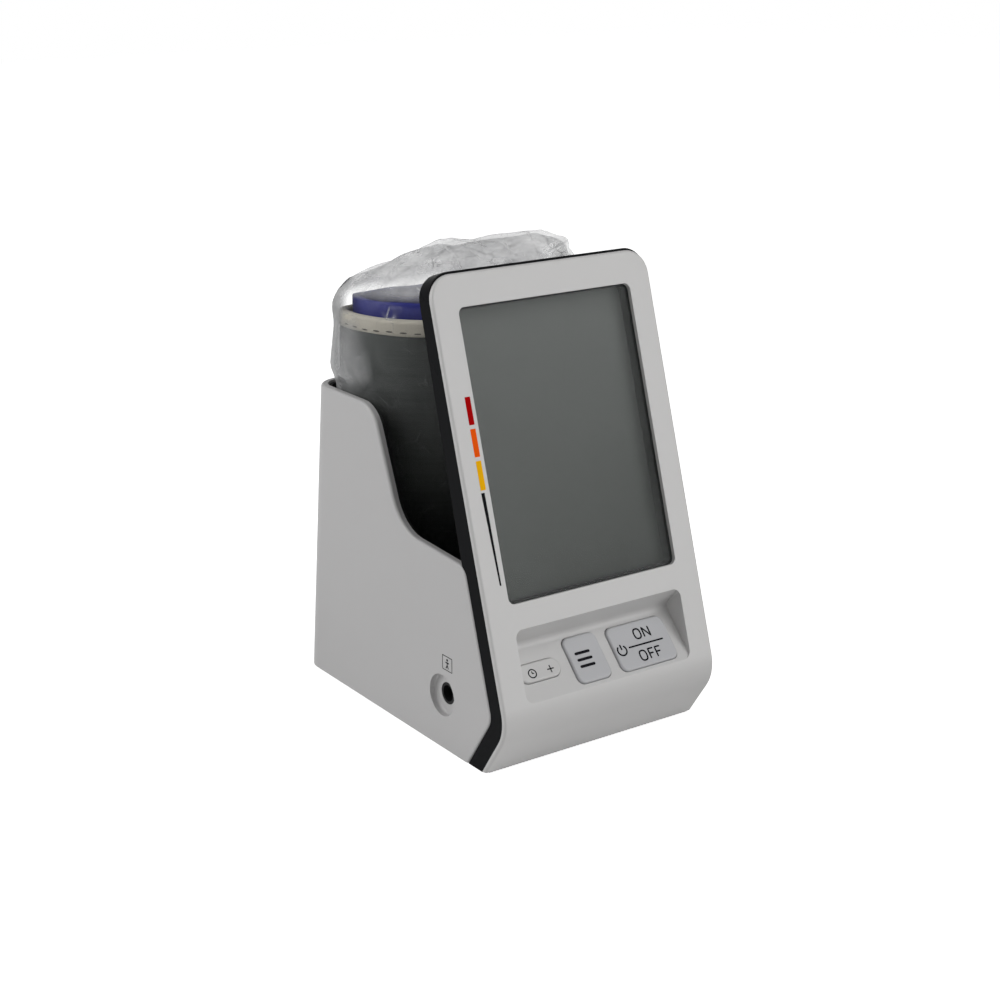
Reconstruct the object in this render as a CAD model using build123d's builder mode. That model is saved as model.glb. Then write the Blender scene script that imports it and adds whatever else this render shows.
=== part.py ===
from build123d import *
import os
from math import cos, pi, radians, sin, tan

os.makedirs("parts", exist_ok=True)

# Desk blood pressure monitor: a leaning display in front, a pocket with the rolled cuff behind it.
# +Z is up, the display faces -Y, X runs across. The origin is under the middle, on the desk.

# Whole body
body_width = 104.0
body_depth = 154.5
body_height = 190.3
foot_gap = 0.5
seam = 0.2
overrun = 2.0
edge_break = 0.6
skin_tolerance = 0.06
half_turn = 180.0

# Front: a face that leans back, a round nose and an undercut foot
face_tilt = 17.2
foot_tilt = 34.0
nose_height = 22.6
nose_radius = 17.0
face_corner = 10.0
bezel_wall = 1.8
bezel_edge = 1.1
bezel_lift = 0.5
bezel_drop = 1.0
ledge_width = 1.8
ledge_depth = 1.2

# Black band between the bezel and the grey shell
band_inset = 0.25
band_wall = 2.0
band_top_depth = 8.8
band_knee_depth = 11.6
band_knee = 86.0

# Grey rear shell and its side wall's stepped top
shell_wall = 2.8
shell_front_depth = 9.8
shell_corner = 12.0
rear_tilt = 6.1
sill_front = 81.5
sill_rear = 84.0
sill_round = 6.5
wall_edge = 1.2
step_foot_behind = 1.3
step_foot_round = 20.0
step_head_behind = 20.3
step_head_round = 13.8
wall_top = 130.5

# Black liner of the cuff pocket
liner_wall = 1.4
rim_step = 1.2
pocket_floor = 21.4
pocket_length = 83.25
deck_top = 60.0

# Display window, lens and LCD, measured up the face from the desk plane
window_side = 10.9
window_low = 71.3
window_top_gap = 14.0
window_corner = 2.8
lens_margin = 1.5
lens_thickness = 1.0
frame_wall = 2.2
lcd_margin = 0.8
pad_width = 1.6
frame_lip = 0.5
lcd_depth = 7.0
lcd_thickness = 2.8
lcd_play = 0.15
board_gap = 0.6
board_thickness = 1.6
board_margin = 2.0
connector_width = 2.0
connector_short = 6.1
connector_inset = 4.0

# Display back cover: a flange inside the band and a raised middle
cover_depth = 7.2
cover_wall = 1.4
cover_low = 62.0
hump_depth = 14.8
hump_side = 7.0
hump_low = 66.0
hump_top_gap = 10.0
hump_corner = 6.0
cover_slot_width = 24.0
post_side = 4.6
post_radius = 2.1
post_low_gap = 20.7
post_top_gap = 21.2

# Key recess: a sloped floor and a roof that comes back to the face
recess_low = 32.6
recess_high = 61.3
recess_angle = 27.0
recess_floor = 24.6
recess_side = 11.35
recess_blend = 3.0
recess_corner = 3.5
recess_wall = 1.6

# Keys, placed on the sloped floor: x across, and the length up the floor
key_clearance = 0.25
key_rise = 1.1
key_edge = 0.9
key_lift = 0.1
key_flange = 0.9
key_flange_thickness = 0.8
key_travel = 0.8
start_key_up = 11.3
start_key_share = 0.352
start_key_end = 5.45
start_key_height = 19.3
memory_key_up = 11.7
memory_key_share = 0.2005
memory_key_height = 19.8
set_key_up = 11.85
set_key_share = 0.2435
set_key_end = 1.2
memory_key_spread = 0.457
set_key_height = 7.9
key_corner = 3.2
rocker_flange_width = 7.0
rocker_lift = 0.3

# Under the keys
membrane_side = 2.15
membrane_height = 21.6
membrane_thickness = 0.6
membrane_gap = 0.1
bump_radius = 2.2
bump_height = 0.6
bump_spacing = 15.0
dome_radius = 2.0
dome_thickness = 0.3
dome_play = 0.1
key_board_side = 0.15
key_board_height = 22.6
key_board_thickness = 1.4
stud_radius = 1.7
stud_side = 1.8
stud_low = 3.2
stud_high = 20.4

# Screws
screw_radius = 1.0
screw_length = 5.0
screw_head_radius = 2.0
screw_head_height = 1.2
screw_play = 0.1
slot_width = 0.6
slot_depth = 0.5
small_screw_radius = 0.75
small_screw_length = 3.0
small_screw_head_radius = 1.4
small_screw_head_height = 0.8

# Base, feet and battery bay
base_thickness = 2.2
base_boss_radius = 3.6
base_boss_front = 33.25
base_boss_rear = 15.25
base_boss_height = 14.0
base_boss_overlap = 0.5
base_screw_radius = 1.5
base_screw_length = 11.0
base_screw_head_radius = 3.0
base_screw_head_height = 1.6
foot_radius = 5.0
foot_recess = 0.8
foot_front = 41.25
foot_rear = 27.25
foot_shift = 1.4
cell_radius = 7.15
cell_length = 49.2
cell_nub_radius = 2.7
cell_nub_length = 1.2
cell_pitch = 14.8
cell_count = 4
bay_wall = 1.5
bay_play = 0.3
bay_behind = 39.25
contact_gap = 4.0
contact_thickness = 0.4
contact_height = 11.0
contact_width = 10.0
leaf_width = 5.0
leaf_reach = 3.6
door_play = 0.25
rail_width = 1.2
rail_height = 0.8
door_rib_length = 26.0
door_rib_width = 1.6
door_rib_height = 0.5
door_rib_pitch = 4.0
door_rib_count = 4
door_rib_inset = 5.0

# Air jack in the left wall
jack_behind = 43.05
jack_z = 23.1
dimple_radius = 8.7
dimple_depth = 2.9
dimple_skin = 1.8
dimple_blend = 1.2
jack_hole_radius = 4.6
jack_bore_radius = 3.4
jack_bore_length = 9.5
jack_body_radius = 4.5
jack_flange_radius = 6.6
jack_flange_thickness = 1.2
jack_end_wall = 1.2
nozzle_radius = 1.5
nozzle_bore = 0.8
nozzle_length = 4.0
seal_thickness = 0.8

# Pump, valve, manifold and air tubes
pump_right = 18.0
pump_head_length = 17.0
pump_head_size = 24.0
pump_edge = 2.0
motor_radius = 11.8
motor_end_gap = 9.2
motor_z = 16.5
motor_shaft_radius = 1.0
motor_shaft_length = 2.0
cradle_width = 18.0
cradle_short = 9.0
cradle_height = 6.5
cradle_inset = 4.0
cradle_play = 0.1
valve_size = 13.0
valve_behind_jack = 16.3
valve_height = 24.0
manifold_right_of_jack = 14.4
manifold_size = 7.0
tube_radius = 2.1
tube_bend = 7.0
power_board_side = 10.0
power_board_low = 25.0
power_board_high = 55.0
power_board_thickness = 1.6
power_stud_height = 2.0
power_stud_side = 4.0
power_stud_inset = 4.0
sensor_width = 10.0
sensor_depth = 4.5
sensor_z = 43.0
capacitor_radius = 4.0
capacitor_height = 10.0
capacitor_x = 8.0
capacitor_pitch = 11.0
ribbon_thickness = 0.3
ribbon_width = 18.0
ribbon_top = 79.0
ribbon_exit = 61.5
ribbon_level = 56.0
ribbon_end = 48.0
ribbon_bend = 2.6
ribbon_fall = 10.1

# Chips and buzzer on the main board
chip_height = 1.1
processor_size = 14.0
processor_up = 118.0
memory_chip_width = 6.0
memory_chip_height = 8.0
memory_chip_x = 18.0
memory_chip_up = 140.0
driver_chip_x = -18.0
driver_chip_up = 140.0
buzzer_radius = 7.0
buzzer_x = 22.0
buzzer_up = 100.0
buzzer_height = 1.2

# Rolled cuff: flat at the back, half an ellipse in front
cuff_side = 7.1
cuff_front_reach = 39.3
cuff_back_reach = 15.4
cuff_rear = 20.05
cuff_back_round = 9.0
cuff_bottom = 22.5
cuff_height = 140.0
binding_height = 7.2
binding_proud = 0.5
binding_round = 1.2
sleeve_thickness = 3.0
bladder_thickness = 1.6
bladder_inset = 14.0
bladder_gap_width = 30.0
lining_thickness = 2.0
lining_rise = 5.6
lining_sink = 1.0
wrap_gap = 1.0
wrap_thickness = 3.0
wrap_drop = 3.0
wrap_opening = 34.0
hook_thickness = 0.6
hook_height = 60.0
hook_width = 40.0
cloth_gap = 0.1

# Clear film bag round the cuff
film_thickness = 0.5
film_gap = 0.3
bag_bottom = 21.7
bag_shoulder_rise = 1.0
bag_neck_rise = 14.5
bag_top_rise = 27.4
bag_neck_inset = 6.0
bag_neck_x = 6.0
bag_neck_shift = 3.0
bag_mouth_x = 20.0
bag_mouth_half_width = 26.0
bag_mouth_half_depth = 10.0
bag_mouth_front = 7.8
bag_mouth_round = 4.0

# Values worked out from the ones above
lean = radians(face_tilt)
undercut = radians(foot_tilt)
rear_lean = radians(rear_tilt)
recess_slope = radians(recess_angle)
nose_half_angle = (pi - lean - undercut) / 2
nose_bisector = (undercut - lean) / 2
nose_y = -body_depth / 2 + nose_radius * (1 - cos(nose_bisector) / sin(nose_half_angle))
face_foot_y = nose_y - nose_height * tan(lean)
face_length = body_height / cos(lean)
half_width = body_width / 2
window_width = body_width - window_side * 2
window_high = face_length - window_top_gap
connector_length = window_width - connector_short * 2
hump_width = body_width - hump_side * 2
hump_high = face_length - hump_top_gap
post_x = half_width - post_side
post_low = window_low + post_low_gap
post_high = face_length - post_top_gap
recess_width = body_width - recess_side * 2
start_key_width = recess_width * start_key_share
start_key_x = recess_width / 2 - start_key_end - start_key_width / 2
memory_key_width = recess_width * memory_key_share
set_key_width = recess_width * set_key_share
set_key_x = set_key_end + set_key_width / 2 - recess_width / 2
memory_key_x = set_key_x + (start_key_x - set_key_x) * memory_key_spread
membrane_width = recess_width - membrane_side * 2
key_board_width = recess_width - key_board_side * 2
stud_x = key_board_width / 2 - stud_side
power_board_width = body_width - power_board_side * 2
power_stud_x = power_board_width / 2 - power_stud_side
cuff_half_width = half_width - cuff_side
front_y = -body_depth / 2
pocket_front_y = body_depth / 2 - pocket_length
step_foot_y = pocket_front_y + step_foot_behind
step_head_y = pocket_front_y + step_head_behind
base_boss_front_y = front_y + base_boss_front
base_boss_rear_y = body_depth / 2 - base_boss_rear
foot_front_y = front_y + foot_front
foot_rear_y = body_depth / 2 - foot_rear
bay_centre_y = body_depth / 2 - bay_behind
jack_y = front_y + jack_behind
valve_y = jack_y + valve_behind_jack
cuff_back_y = body_depth / 2 - cuff_rear
cuff_centre_y = cuff_back_y - cuff_back_reach
cuff_top = cuff_bottom + cuff_height
bag_shoulder = cuff_top + bag_shoulder_rise
bag_neck = cuff_top + bag_neck_rise
bag_top = cuff_top + bag_top_rise
bag_mouth_y = cuff_centre_y - bag_mouth_front
band_half_width = half_width - band_inset
band_inner_half = band_half_width - band_wall
shell_inner_half = half_width - shell_wall
liner_half = shell_inner_half - seam
bezel_bottom = foot_gap + bezel_lift
bezel_top = face_length - bezel_drop
face_plane = Plane(origin=(0, face_foot_y, 0), x_dir=(1, 0, 0), z_dir=(0, -cos(lean), sin(lean)))


def behind(along, depth):
    """Side-view point at a length up the face and a depth behind it."""
    y = face_foot_y + along * sin(lean) + depth * cos(lean)
    z = along * cos(lean) - depth * sin(lean)
    return (y, z)


def face_point(height, depth):
    """Side-view point at a height, on the plane that lies a depth behind the face."""
    return (face_foot_y + height * tan(lean) + depth / cos(lean), height)


def nose_corner(depth):
    """Side-view corner where the face and the foot plane meet, both moved in by a depth."""
    reach = depth / sin(nose_half_angle)
    return (nose_y + reach * cos(nose_bisector), nose_height + reach * sin(nose_bisector))


def foot_point(depth, height):
    """Side-view point at a height, on the foot plane moved in by a depth."""
    run = nose_height + depth * sin(undercut) - height
    return (nose_y + depth * cos(undercut) + run * tan(undercut), height)


def rear_y(height):
    """Rear wall's outer y at a height."""
    return body_depth / 2 - (height - foot_gap) * tan(rear_lean)


def nose_round(depth):
    """Nose radius at a depth, down to a sharp corner."""
    return max(nose_radius - depth, 0)


def layer_corners(near, far, bottom, top):
    """Side outline of a layer that follows the foot, the nose and the face."""
    return [
        foot_point(near, bottom),
        nose_corner(near),
        behind(top, near),
        behind(top, far),
        nose_corner(far),
        foot_point(far, bottom),
    ]


def layer_radii(near, far):
    """Corner radii that go with layer_corners."""
    return [0, nose_round(near), 0, 0, nose_round(far), 0]


def wall_corners(front_depth, drop, rear_inset, bottom):
    """Side outline of the stepped wall, with its top lowered and its rear moved in."""
    low_front = face_point(sill_front - drop, front_depth)
    rear_shift = rear_inset / cos(rear_lean)
    return [
        foot_point(front_depth, bottom),
        nose_corner(front_depth),
        low_front,
        (step_foot_y, sill_rear - drop),
        (step_head_y, wall_top - drop),
        (rear_y(wall_top - drop) - rear_shift, wall_top - drop),
        (rear_y(bottom) - rear_shift, bottom),
    ]


def wall_radii(front_depth):
    """Corner radii that go with wall_corners."""
    return [0, nose_round(front_depth), sill_round, step_foot_round, step_head_round, 0, 0]


def plan_corners(half, inset, height):
    """Plan outline at a height, as wide as given, with its rear moved in."""
    rear = rear_y(height) - inset / cos(rear_lean)
    return [(-half, -body_depth), (-half, rear), (half, rear), (half, -body_depth)]


def plan_radii(round_size):
    """Corner radii that go with plan_corners."""
    return [0, round_size, round_size, 0]


def draw_cuff(inset):
    """Draws the rolled cuff's plan outline, moved in, in the open sketch."""
    half = cuff_half_width - inset
    back = cuff_back_y - inset
    with BuildLine() as outline:
        EllipticalCenterArc(
            center=(0, cuff_centre_y),
            x_radius=half,
            y_radius=cuff_front_reach - inset,
            start_angle=half_turn,
            arc_size=half_turn,
        )
        FilletPolyline(
            (half, cuff_centre_y), (half, back), (-half, back), (-half, cuff_centre_y),
            radius=max(cuff_back_round - inset, edge_break),
        )
    make_face(outline.edges())


def on_front_skin(edge):
    """True for an outer edge of the bezel's front skin, but not for its lower end or its tangent lines."""
    middle = edge @ 0.5
    on_face = abs(behind_depth(middle.Y, middle.Z)) < skin_tolerance
    on_foot = abs(foot_depth(middle.Y, middle.Z)) < skin_tolerance
    nose_y_centre = nose_corner(nose_radius)[0]
    nose_z_centre = nose_corner(nose_radius)[1]
    from_centre = ((middle.Y - nose_y_centre) ** 2 + (middle.Z - nose_z_centre) ** 2) ** 0.5
    on_nose = abs(from_centre - nose_radius) < skin_tolerance and middle.Y < nose_y_centre
    at_side = abs(abs(middle.X) - half_width) < skin_tolerance
    above = middle.Z > body_height - face_corner
    return (on_face and above) or ((on_face or on_foot or on_nose) and at_side)


def on_wall_rim(edge):
    """True for an outer edge along the top of the grey side walls."""
    middle = edge @ 0.5
    at_side = abs(abs(middle.X) - half_width) < skin_tolerance
    inside = behind_depth(middle.Y, middle.Z) > shell_front_depth + skin_tolerance
    return at_side and inside and middle.Z > sill_front - sill_round


def behind_depth(y, z):
    """Depth of a side-view point behind the face plane."""
    return (y - face_foot_y) * cos(lean) - z * sin(lean)


def foot_depth(y, z):
    """Depth of a side-view point behind the foot plane."""
    return (y - nose_y) * cos(undercut) + (z - nose_height) * sin(undercut)


recess_edge_y, recess_edge_z = behind(recess_low, 0)
key_lean = lean + recess_slope
floor_plane = Plane(
    origin=(0, recess_edge_y, recess_edge_z),
    x_dir=(1, 0, 0),
    z_dir=(0, -cos(key_lean), sin(key_lean)),
)
recess_end_up = recess_low + recess_floor * cos(recess_slope)
recess_end_depth = recess_floor * sin(recess_slope)
recess_corners = [
    behind(recess_low, 0),
    behind(recess_end_up, recess_end_depth),
    behind(recess_high, 0),
    behind(recess_high, -overrun),
    behind(recess_low, -overrun),
]

# Depths below the sloped floor's top, down to the key board
flange_top = recess_wall + key_lift
bump_top = flange_top + key_flange_thickness + key_travel + membrane_gap
membrane_top = bump_top + bump_height
board_front = membrane_top + membrane_thickness
stud_places = [(x, up) for x in (-stud_x, stud_x) for up in (stud_low, stud_high)]
post_places = [(x, up) for x in (-post_x, post_x) for up in (post_low, post_high)]

# Space of the key recess: sloped floor, with rounded corners seen square to the face
with BuildPart() as key_recess:
    with BuildSketch(Plane.YZ):
        with BuildLine():
            FilletPolyline(*recess_corners, radius=[0, recess_blend, 0, 0, 0], close=True)
        make_face()
    extrude(amount=recess_width / 2, both=True)
    with BuildSketch(face_plane.offset(overrun)):
        with Locations((0, (recess_low + recess_high) / 2)):
            RectangleRounded(recess_width, recess_high - recess_low, recess_corner)
    extrude(amount=-(overrun + body_depth), mode=Mode.INTERSECT)

# Front bezel: skin, key recess, window, posts for the back cover and studs for the key board
with BuildPart() as front_bezel:
    with BuildSketch(Plane.YZ):
        with BuildLine():
            FilletPolyline(*recess_corners, radius=[0, recess_blend, 0, 0, 0], close=True)
        make_face()
        offset(amount=recess_wall)
    extrude(amount=recess_width / 2 + recess_wall, both=True)
    with BuildSketch(face_plane.offset(-bezel_wall / 2)):
        Rectangle(body_width * 2, body_height * 2)
    extrude(amount=overrun * 2 + bezel_wall, mode=Mode.SUBTRACT)
    with BuildSketch(Plane.YZ):
        with BuildLine():
            FilletPolyline(
                *layer_corners(0, bezel_wall, bezel_bottom, bezel_top),
                radius=layer_radii(0, bezel_wall),
                close=True,
            )
        make_face()
    extrude(amount=half_width, both=True)
    with BuildSketch(face_plane):
        with BuildLine():
            FilletPolyline(
                (-half_width, -body_depth),
                (-half_width, bezel_top),
                (half_width, bezel_top),
                (half_width, -body_depth),
                radius=[0, face_corner, face_corner, 0],
                close=True,
            )
        make_face()
    extrude(amount=body_depth, both=True, mode=Mode.INTERSECT)
    fillet(front_bezel.edges().filter_by(on_front_skin), bezel_edge)
    add(key_recess.part, mode=Mode.SUBTRACT)
    with BuildSketch(face_plane.offset(overrun)):
        with Locations((0, (window_low + window_high) / 2)):
            RectangleRounded(window_width, window_high - window_low, window_corner)
    extrude(amount=-(overrun * 2 + bezel_wall), mode=Mode.SUBTRACT)
    with BuildSketch(floor_plane.offset(overrun)):
        with Locations((start_key_x, start_key_up)):
            RectangleRounded(
                start_key_width + key_clearance * 2, start_key_height + key_clearance * 2, key_corner
            )
        with Locations((memory_key_x, memory_key_up)):
            RectangleRounded(
                memory_key_width + key_clearance * 2, memory_key_height + key_clearance * 2, key_corner
            )
        with Locations((set_key_x, set_key_up)):
            SlotOverall(set_key_width + key_clearance * 2, set_key_height + key_clearance * 2)
    extrude(amount=-(overrun * 2 + recess_wall), mode=Mode.SUBTRACT)
    with BuildSketch(face_plane.offset(-cover_depth)):
        with Locations(*post_places):
            Circle(post_radius)
    extrude(amount=cover_depth - bezel_wall / 2)
    with BuildSketch(face_plane.offset(-cover_depth)):
        with Locations(*post_places):
            Circle(screw_radius + screw_play)
    extrude(amount=screw_length, mode=Mode.SUBTRACT)
    with BuildSketch(floor_plane.offset(-board_front)):
        with Locations(*stud_places):
            Circle(stud_radius)
    extrude(amount=board_front - recess_wall / 2)
    with BuildSketch(floor_plane.offset(-board_front)):
        with Locations(*stud_places):
            Circle(small_screw_radius + screw_play)
    extrude(amount=small_screw_length - key_board_thickness, mode=Mode.SUBTRACT)
front_bezel.part.label = "front_bezel"

# Mid frame: the black band, cut to the grey shell's front edge, with a ledge behind the bezel
band_half_top = face_length
with BuildPart() as mid_frame:
    with BuildSketch(Plane.YZ):
        with BuildLine():
            FilletPolyline(
                foot_point(bezel_wall, foot_gap),
                nose_corner(bezel_wall),
                behind(band_half_top, bezel_wall),
                behind(band_half_top, band_top_depth),
                behind(band_knee, band_knee_depth),
                nose_corner(band_knee_depth),
                foot_point(band_knee_depth, foot_gap),
                radius=[0, nose_round(bezel_wall), 0, 0, 0, nose_round(band_knee_depth), 0],
                close=True,
            )
        make_face()
    extrude(amount=band_half_width, both=True)
    with BuildSketch(face_plane):
        with BuildLine():
            FilletPolyline(
                (-band_half_width, -body_depth),
                (-band_half_width, band_half_top),
                (band_half_width, band_half_top),
                (band_half_width, -body_depth),
                radius=[0, face_corner - band_inset, face_corner - band_inset, 0],
                close=True,
            )
        make_face()
    extrude(amount=body_depth, both=True, mode=Mode.INTERSECT)
    with BuildSketch(face_plane):
        with BuildLine():
            FilletPolyline(
                (-band_inner_half, -body_depth),
                (-band_inner_half, band_half_top - band_wall),
                (band_inner_half, band_half_top - band_wall),
                (band_inner_half, -body_depth),
                radius=[0, face_corner - band_inset - band_wall, face_corner - band_inset - band_wall, 0],
                close=True,
            )
        make_face()
    extrude(amount=body_depth, both=True, mode=Mode.SUBTRACT)
    with BuildSketch(Plane.YZ):
        with BuildLine():
            FilletPolyline(
                *wall_corners(shell_front_depth, 0, -overrun, foot_gap - overrun),
                radius=wall_radii(shell_front_depth),
                close=True,
            )
        make_face()
        offset(amount=seam)
    extrude(amount=body_width, both=True, mode=Mode.SUBTRACT)
    with BuildSketch(face_plane.offset(-bezel_wall)):
        with BuildLine():
            FilletPolyline(
                (-band_inner_half - seam, recess_high),
                (-band_inner_half - seam, band_half_top - band_wall + seam),
                (band_inner_half + seam, band_half_top - band_wall + seam),
                (band_inner_half + seam, recess_high),
                radius=[0, face_corner - band_inset - band_wall, face_corner - band_inset - band_wall, 0],
                close=True,
            )
        make_face()
        with BuildLine():
            FilletPolyline(
                (-band_inner_half + ledge_width, recess_high - overrun),
                (-band_inner_half + ledge_width, band_half_top - band_wall - ledge_width),
                (band_inner_half - ledge_width, band_half_top - band_wall - ledge_width),
                (band_inner_half - ledge_width, recess_high - overrun),
                radius=[0, edge_break, edge_break, 0],
                close=True,
            )
        make_face(mode=Mode.SUBTRACT)
        with Locations(*post_places):
            Circle(post_radius + seam, mode=Mode.SUBTRACT)
    extrude(amount=-ledge_depth)
    with BuildSketch(Plane.YZ):
        with BuildLine():
            Polyline(
                foot_point(bezel_wall, bezel_bottom + seam),
                foot_point(shell_front_depth - seam, bezel_bottom + seam),
                foot_point(shell_front_depth - seam, foot_gap),
                foot_point(seam, foot_gap),
                foot_point(seam, bezel_bottom - seam),
                foot_point(bezel_wall, bezel_bottom - seam),
                close=True,
            )
        make_face()
    extrude(amount=band_inner_half + seam, both=True)
mid_frame.part.label = "mid_frame"

# Rear housing: grey U-shaped shell with stepped side walls, jack dimple, screw pillars and door notch
bay_half = (cell_length + cell_nub_length) / 2 + contact_gap + contact_thickness
door_half = bay_half - door_play
rail_half = bay_half + rail_width
foot_x = (rail_half + half_width) / 2 - foot_shift
bay_half_depth = cell_pitch * (cell_count - 1) / 2 + cell_radius + bay_play
bay_front_y = bay_centre_y - bay_half_depth
base_top = foot_gap + base_thickness
boss_x = shell_inner_half - base_boss_radius + base_boss_overlap
boss_places = [(x, y) for x in (-boss_x, boss_x) for y in (base_boss_front_y, base_boss_rear_y)]
rear_direction = (0, -sin(rear_lean), cos(rear_lean))
with BuildPart() as rear_housing:
    with BuildSketch(Plane.YZ):
        with BuildLine():
            FilletPolyline(
                *wall_corners(shell_front_depth, 0, 0, foot_gap),
                radius=wall_radii(shell_front_depth),
                close=True,
            )
        make_face()
    extrude(amount=half_width, both=True)
    with BuildSketch(Plane.XY.offset(foot_gap - overrun)):
        with BuildLine():
            FilletPolyline(
                *plan_corners(half_width, 0, foot_gap - overrun), radius=plan_radii(shell_corner), close=True
            )
        make_face()
    extrude(amount=body_height, dir=rear_direction, mode=Mode.INTERSECT)
    with BuildSketch(Plane.XY.offset(foot_gap - overrun)):
        with BuildLine():
            FilletPolyline(
                *plan_corners(shell_inner_half, shell_wall, foot_gap - overrun),
                radius=plan_radii(shell_corner - shell_wall),
                close=True,
            )
        make_face()
    extrude(amount=body_height, dir=rear_direction, mode=Mode.SUBTRACT)
    fillet(rear_housing.edges().filter_by(on_wall_rim), wall_edge)
    with BuildSketch(Plane.YZ.offset(-shell_inner_half - shell_wall / 2)):
        with Locations((jack_y, jack_z)):
            Circle(dimple_radius + dimple_skin)
    extrude(amount=dimple_depth + dimple_skin - shell_wall / 2)
    with BuildSketch(Plane.YZ.offset(-half_width - overrun)):
        with Locations((jack_y, jack_z)):
            Circle(dimple_radius)
    extrude(amount=dimple_depth + overrun, mode=Mode.SUBTRACT)
    dimple_rim = rear_housing.edges().filter_by(
        lambda edge: edge.geom_type == GeomType.CIRCLE
        and abs(edge.radius - dimple_radius) < seam
        and edge.center().X > -half_width + dimple_depth / 2
    )
    fillet(dimple_rim, dimple_blend)
    with BuildSketch(Plane.YZ.offset(-half_width - overrun)):
        with Locations((jack_y, jack_z)):
            Circle(jack_hole_radius)
    extrude(amount=overrun + dimple_depth * 2 + dimple_skin, mode=Mode.SUBTRACT)
    with BuildSketch(Plane.XY.offset(base_top)):
        with Locations(*boss_places):
            Circle(base_boss_radius)
    extrude(amount=base_boss_height)
    with BuildSketch(Plane.XY.offset(base_top)):
        with Locations(*boss_places):
            Circle(base_screw_radius + screw_play)
    extrude(amount=base_screw_length, mode=Mode.SUBTRACT)
    with BuildSketch(Plane.XY.offset(foot_gap - overrun)):
        with Locations((0, body_depth / 2)):
            Rectangle(rail_half * 2 + door_play * 2, shell_wall * 4)
    extrude(amount=base_thickness + overrun + door_play, mode=Mode.SUBTRACT)
rear_housing.part.label = "rear_housing"

# Pocket liner: thin black tub with a deep part for the cuff and a shelf in front of it
liner_front_depth = cover_depth + cover_wall + seam
shelf_front = face_point(deck_top - liner_wall, liner_front_depth)
liner_rear = shell_wall + seam
liner_low = pocket_floor - liner_wall
pocket_wall_y = pocket_front_y - liner_wall
inner_rear = liner_rear + liner_wall
power_places = [
    (x, z)
    for x in (-power_stud_x, power_stud_x)
    for z in (power_board_low + power_stud_inset, power_board_high - power_stud_inset)
]
liner_corner = shell_corner - shell_wall - seam
with BuildPart() as pocket_liner:
    with BuildSketch(Plane.YZ):
        with BuildLine():
            FilletPolyline(
                (pocket_wall_y, liner_low),
                (pocket_wall_y, deck_top - liner_wall),
                shelf_front,
                face_point(sill_front - rim_step, liner_front_depth),
                (step_foot_y, sill_rear - rim_step),
                (step_head_y, wall_top - rim_step),
                (rear_y(wall_top - rim_step) - liner_rear / cos(rear_lean), wall_top - rim_step),
                (rear_y(liner_low) - liner_rear / cos(rear_lean), liner_low),
                radius=[0, 0, 0, 0, step_foot_round, step_head_round, 0, 0],
                close=True,
            )
        make_face()
    extrude(amount=liner_half, both=True)
    with BuildSketch(Plane.XY):
        with BuildLine():
            FilletPolyline(
                *plan_corners(liner_half, liner_rear, 0), radius=plan_radii(liner_corner), close=True
            )
        make_face()
    extrude(amount=body_height, dir=rear_direction, mode=Mode.INTERSECT)
    with BuildSketch(Plane.XY.offset(deck_top)):
        with BuildLine():
            FilletPolyline(
                *plan_corners(liner_half - liner_wall, inner_rear, deck_top),
                radius=plan_radii(liner_corner - liner_wall),
                close=True,
            )
        make_face()
    extrude(amount=body_height, dir=rear_direction, mode=Mode.SUBTRACT)
    with BuildSketch(Plane.XY.offset(pocket_floor)):
        with BuildLine():
            FilletPolyline(
                *plan_corners(liner_half - liner_wall, inner_rear, pocket_floor),
                radius=plan_radii(liner_corner - liner_wall),
                close=True,
            )
        make_face()
        with Locations((0, pocket_front_y + liner_corner)):
            Rectangle(body_width, body_depth * 2, align=(Align.CENTER, Align.MAX), mode=Mode.SUBTRACT)
    extrude(amount=deck_top, dir=rear_direction, mode=Mode.SUBTRACT)
    with BuildSketch(Plane.XY.offset(pocket_floor)):
        with Locations((0, pocket_front_y)):
            Rectangle(
                liner_half * 2 - liner_wall * 2, liner_corner * 2, align=(Align.CENTER, Align.MIN)
            )
    extrude(amount=deck_top, mode=Mode.SUBTRACT)
    with BuildSketch(face_plane):
        with Locations((0, (hump_low + hump_high) / 2)):
            RectangleRounded(
                hump_width + seam * 2, hump_high - hump_low + seam * 2, hump_corner + seam
            )
    extrude(amount=-(hump_depth + seam), mode=Mode.SUBTRACT)
    with BuildSketch(Plane.XY.offset(deck_top - liner_wall * 2)):
        with Locations((0, face_point(deck_top, hump_depth)[0])):
            Rectangle(cover_slot_width, body_depth, align=(Align.CENTER, Align.MAX))
    extrude(amount=liner_wall * 3, mode=Mode.SUBTRACT)
    with BuildSketch(Plane.XZ.offset(-pocket_wall_y)):
        with Locations(*power_places):
            Circle(stud_radius)
    extrude(amount=power_stud_height)
pocket_liner.part.label = "pocket_liner"

# Depths behind the face, from the lens to the main board
window_middle = (window_low + window_high) / 2
window_height = window_high - window_low
panel_width = window_width + lcd_margin * 2 - lcd_play * 2
panel_height = window_height + lcd_margin * 2 - lcd_play * 2
lens_back = bezel_wall + lens_thickness
panel_back = lcd_depth + lcd_thickness
main_front = panel_back + board_gap
main_back = main_front + board_thickness
board_width = hump_width - cover_wall * 2 - board_margin
board_low = hump_low + cover_wall + board_margin
board_high = hump_high - cover_wall - board_margin
board_pad_places = [
    (x, up)
    for x in (-board_width / 2 + board_margin, board_width / 2 - board_margin)
    for up in (board_low + board_margin, board_high - board_margin)
]

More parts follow.
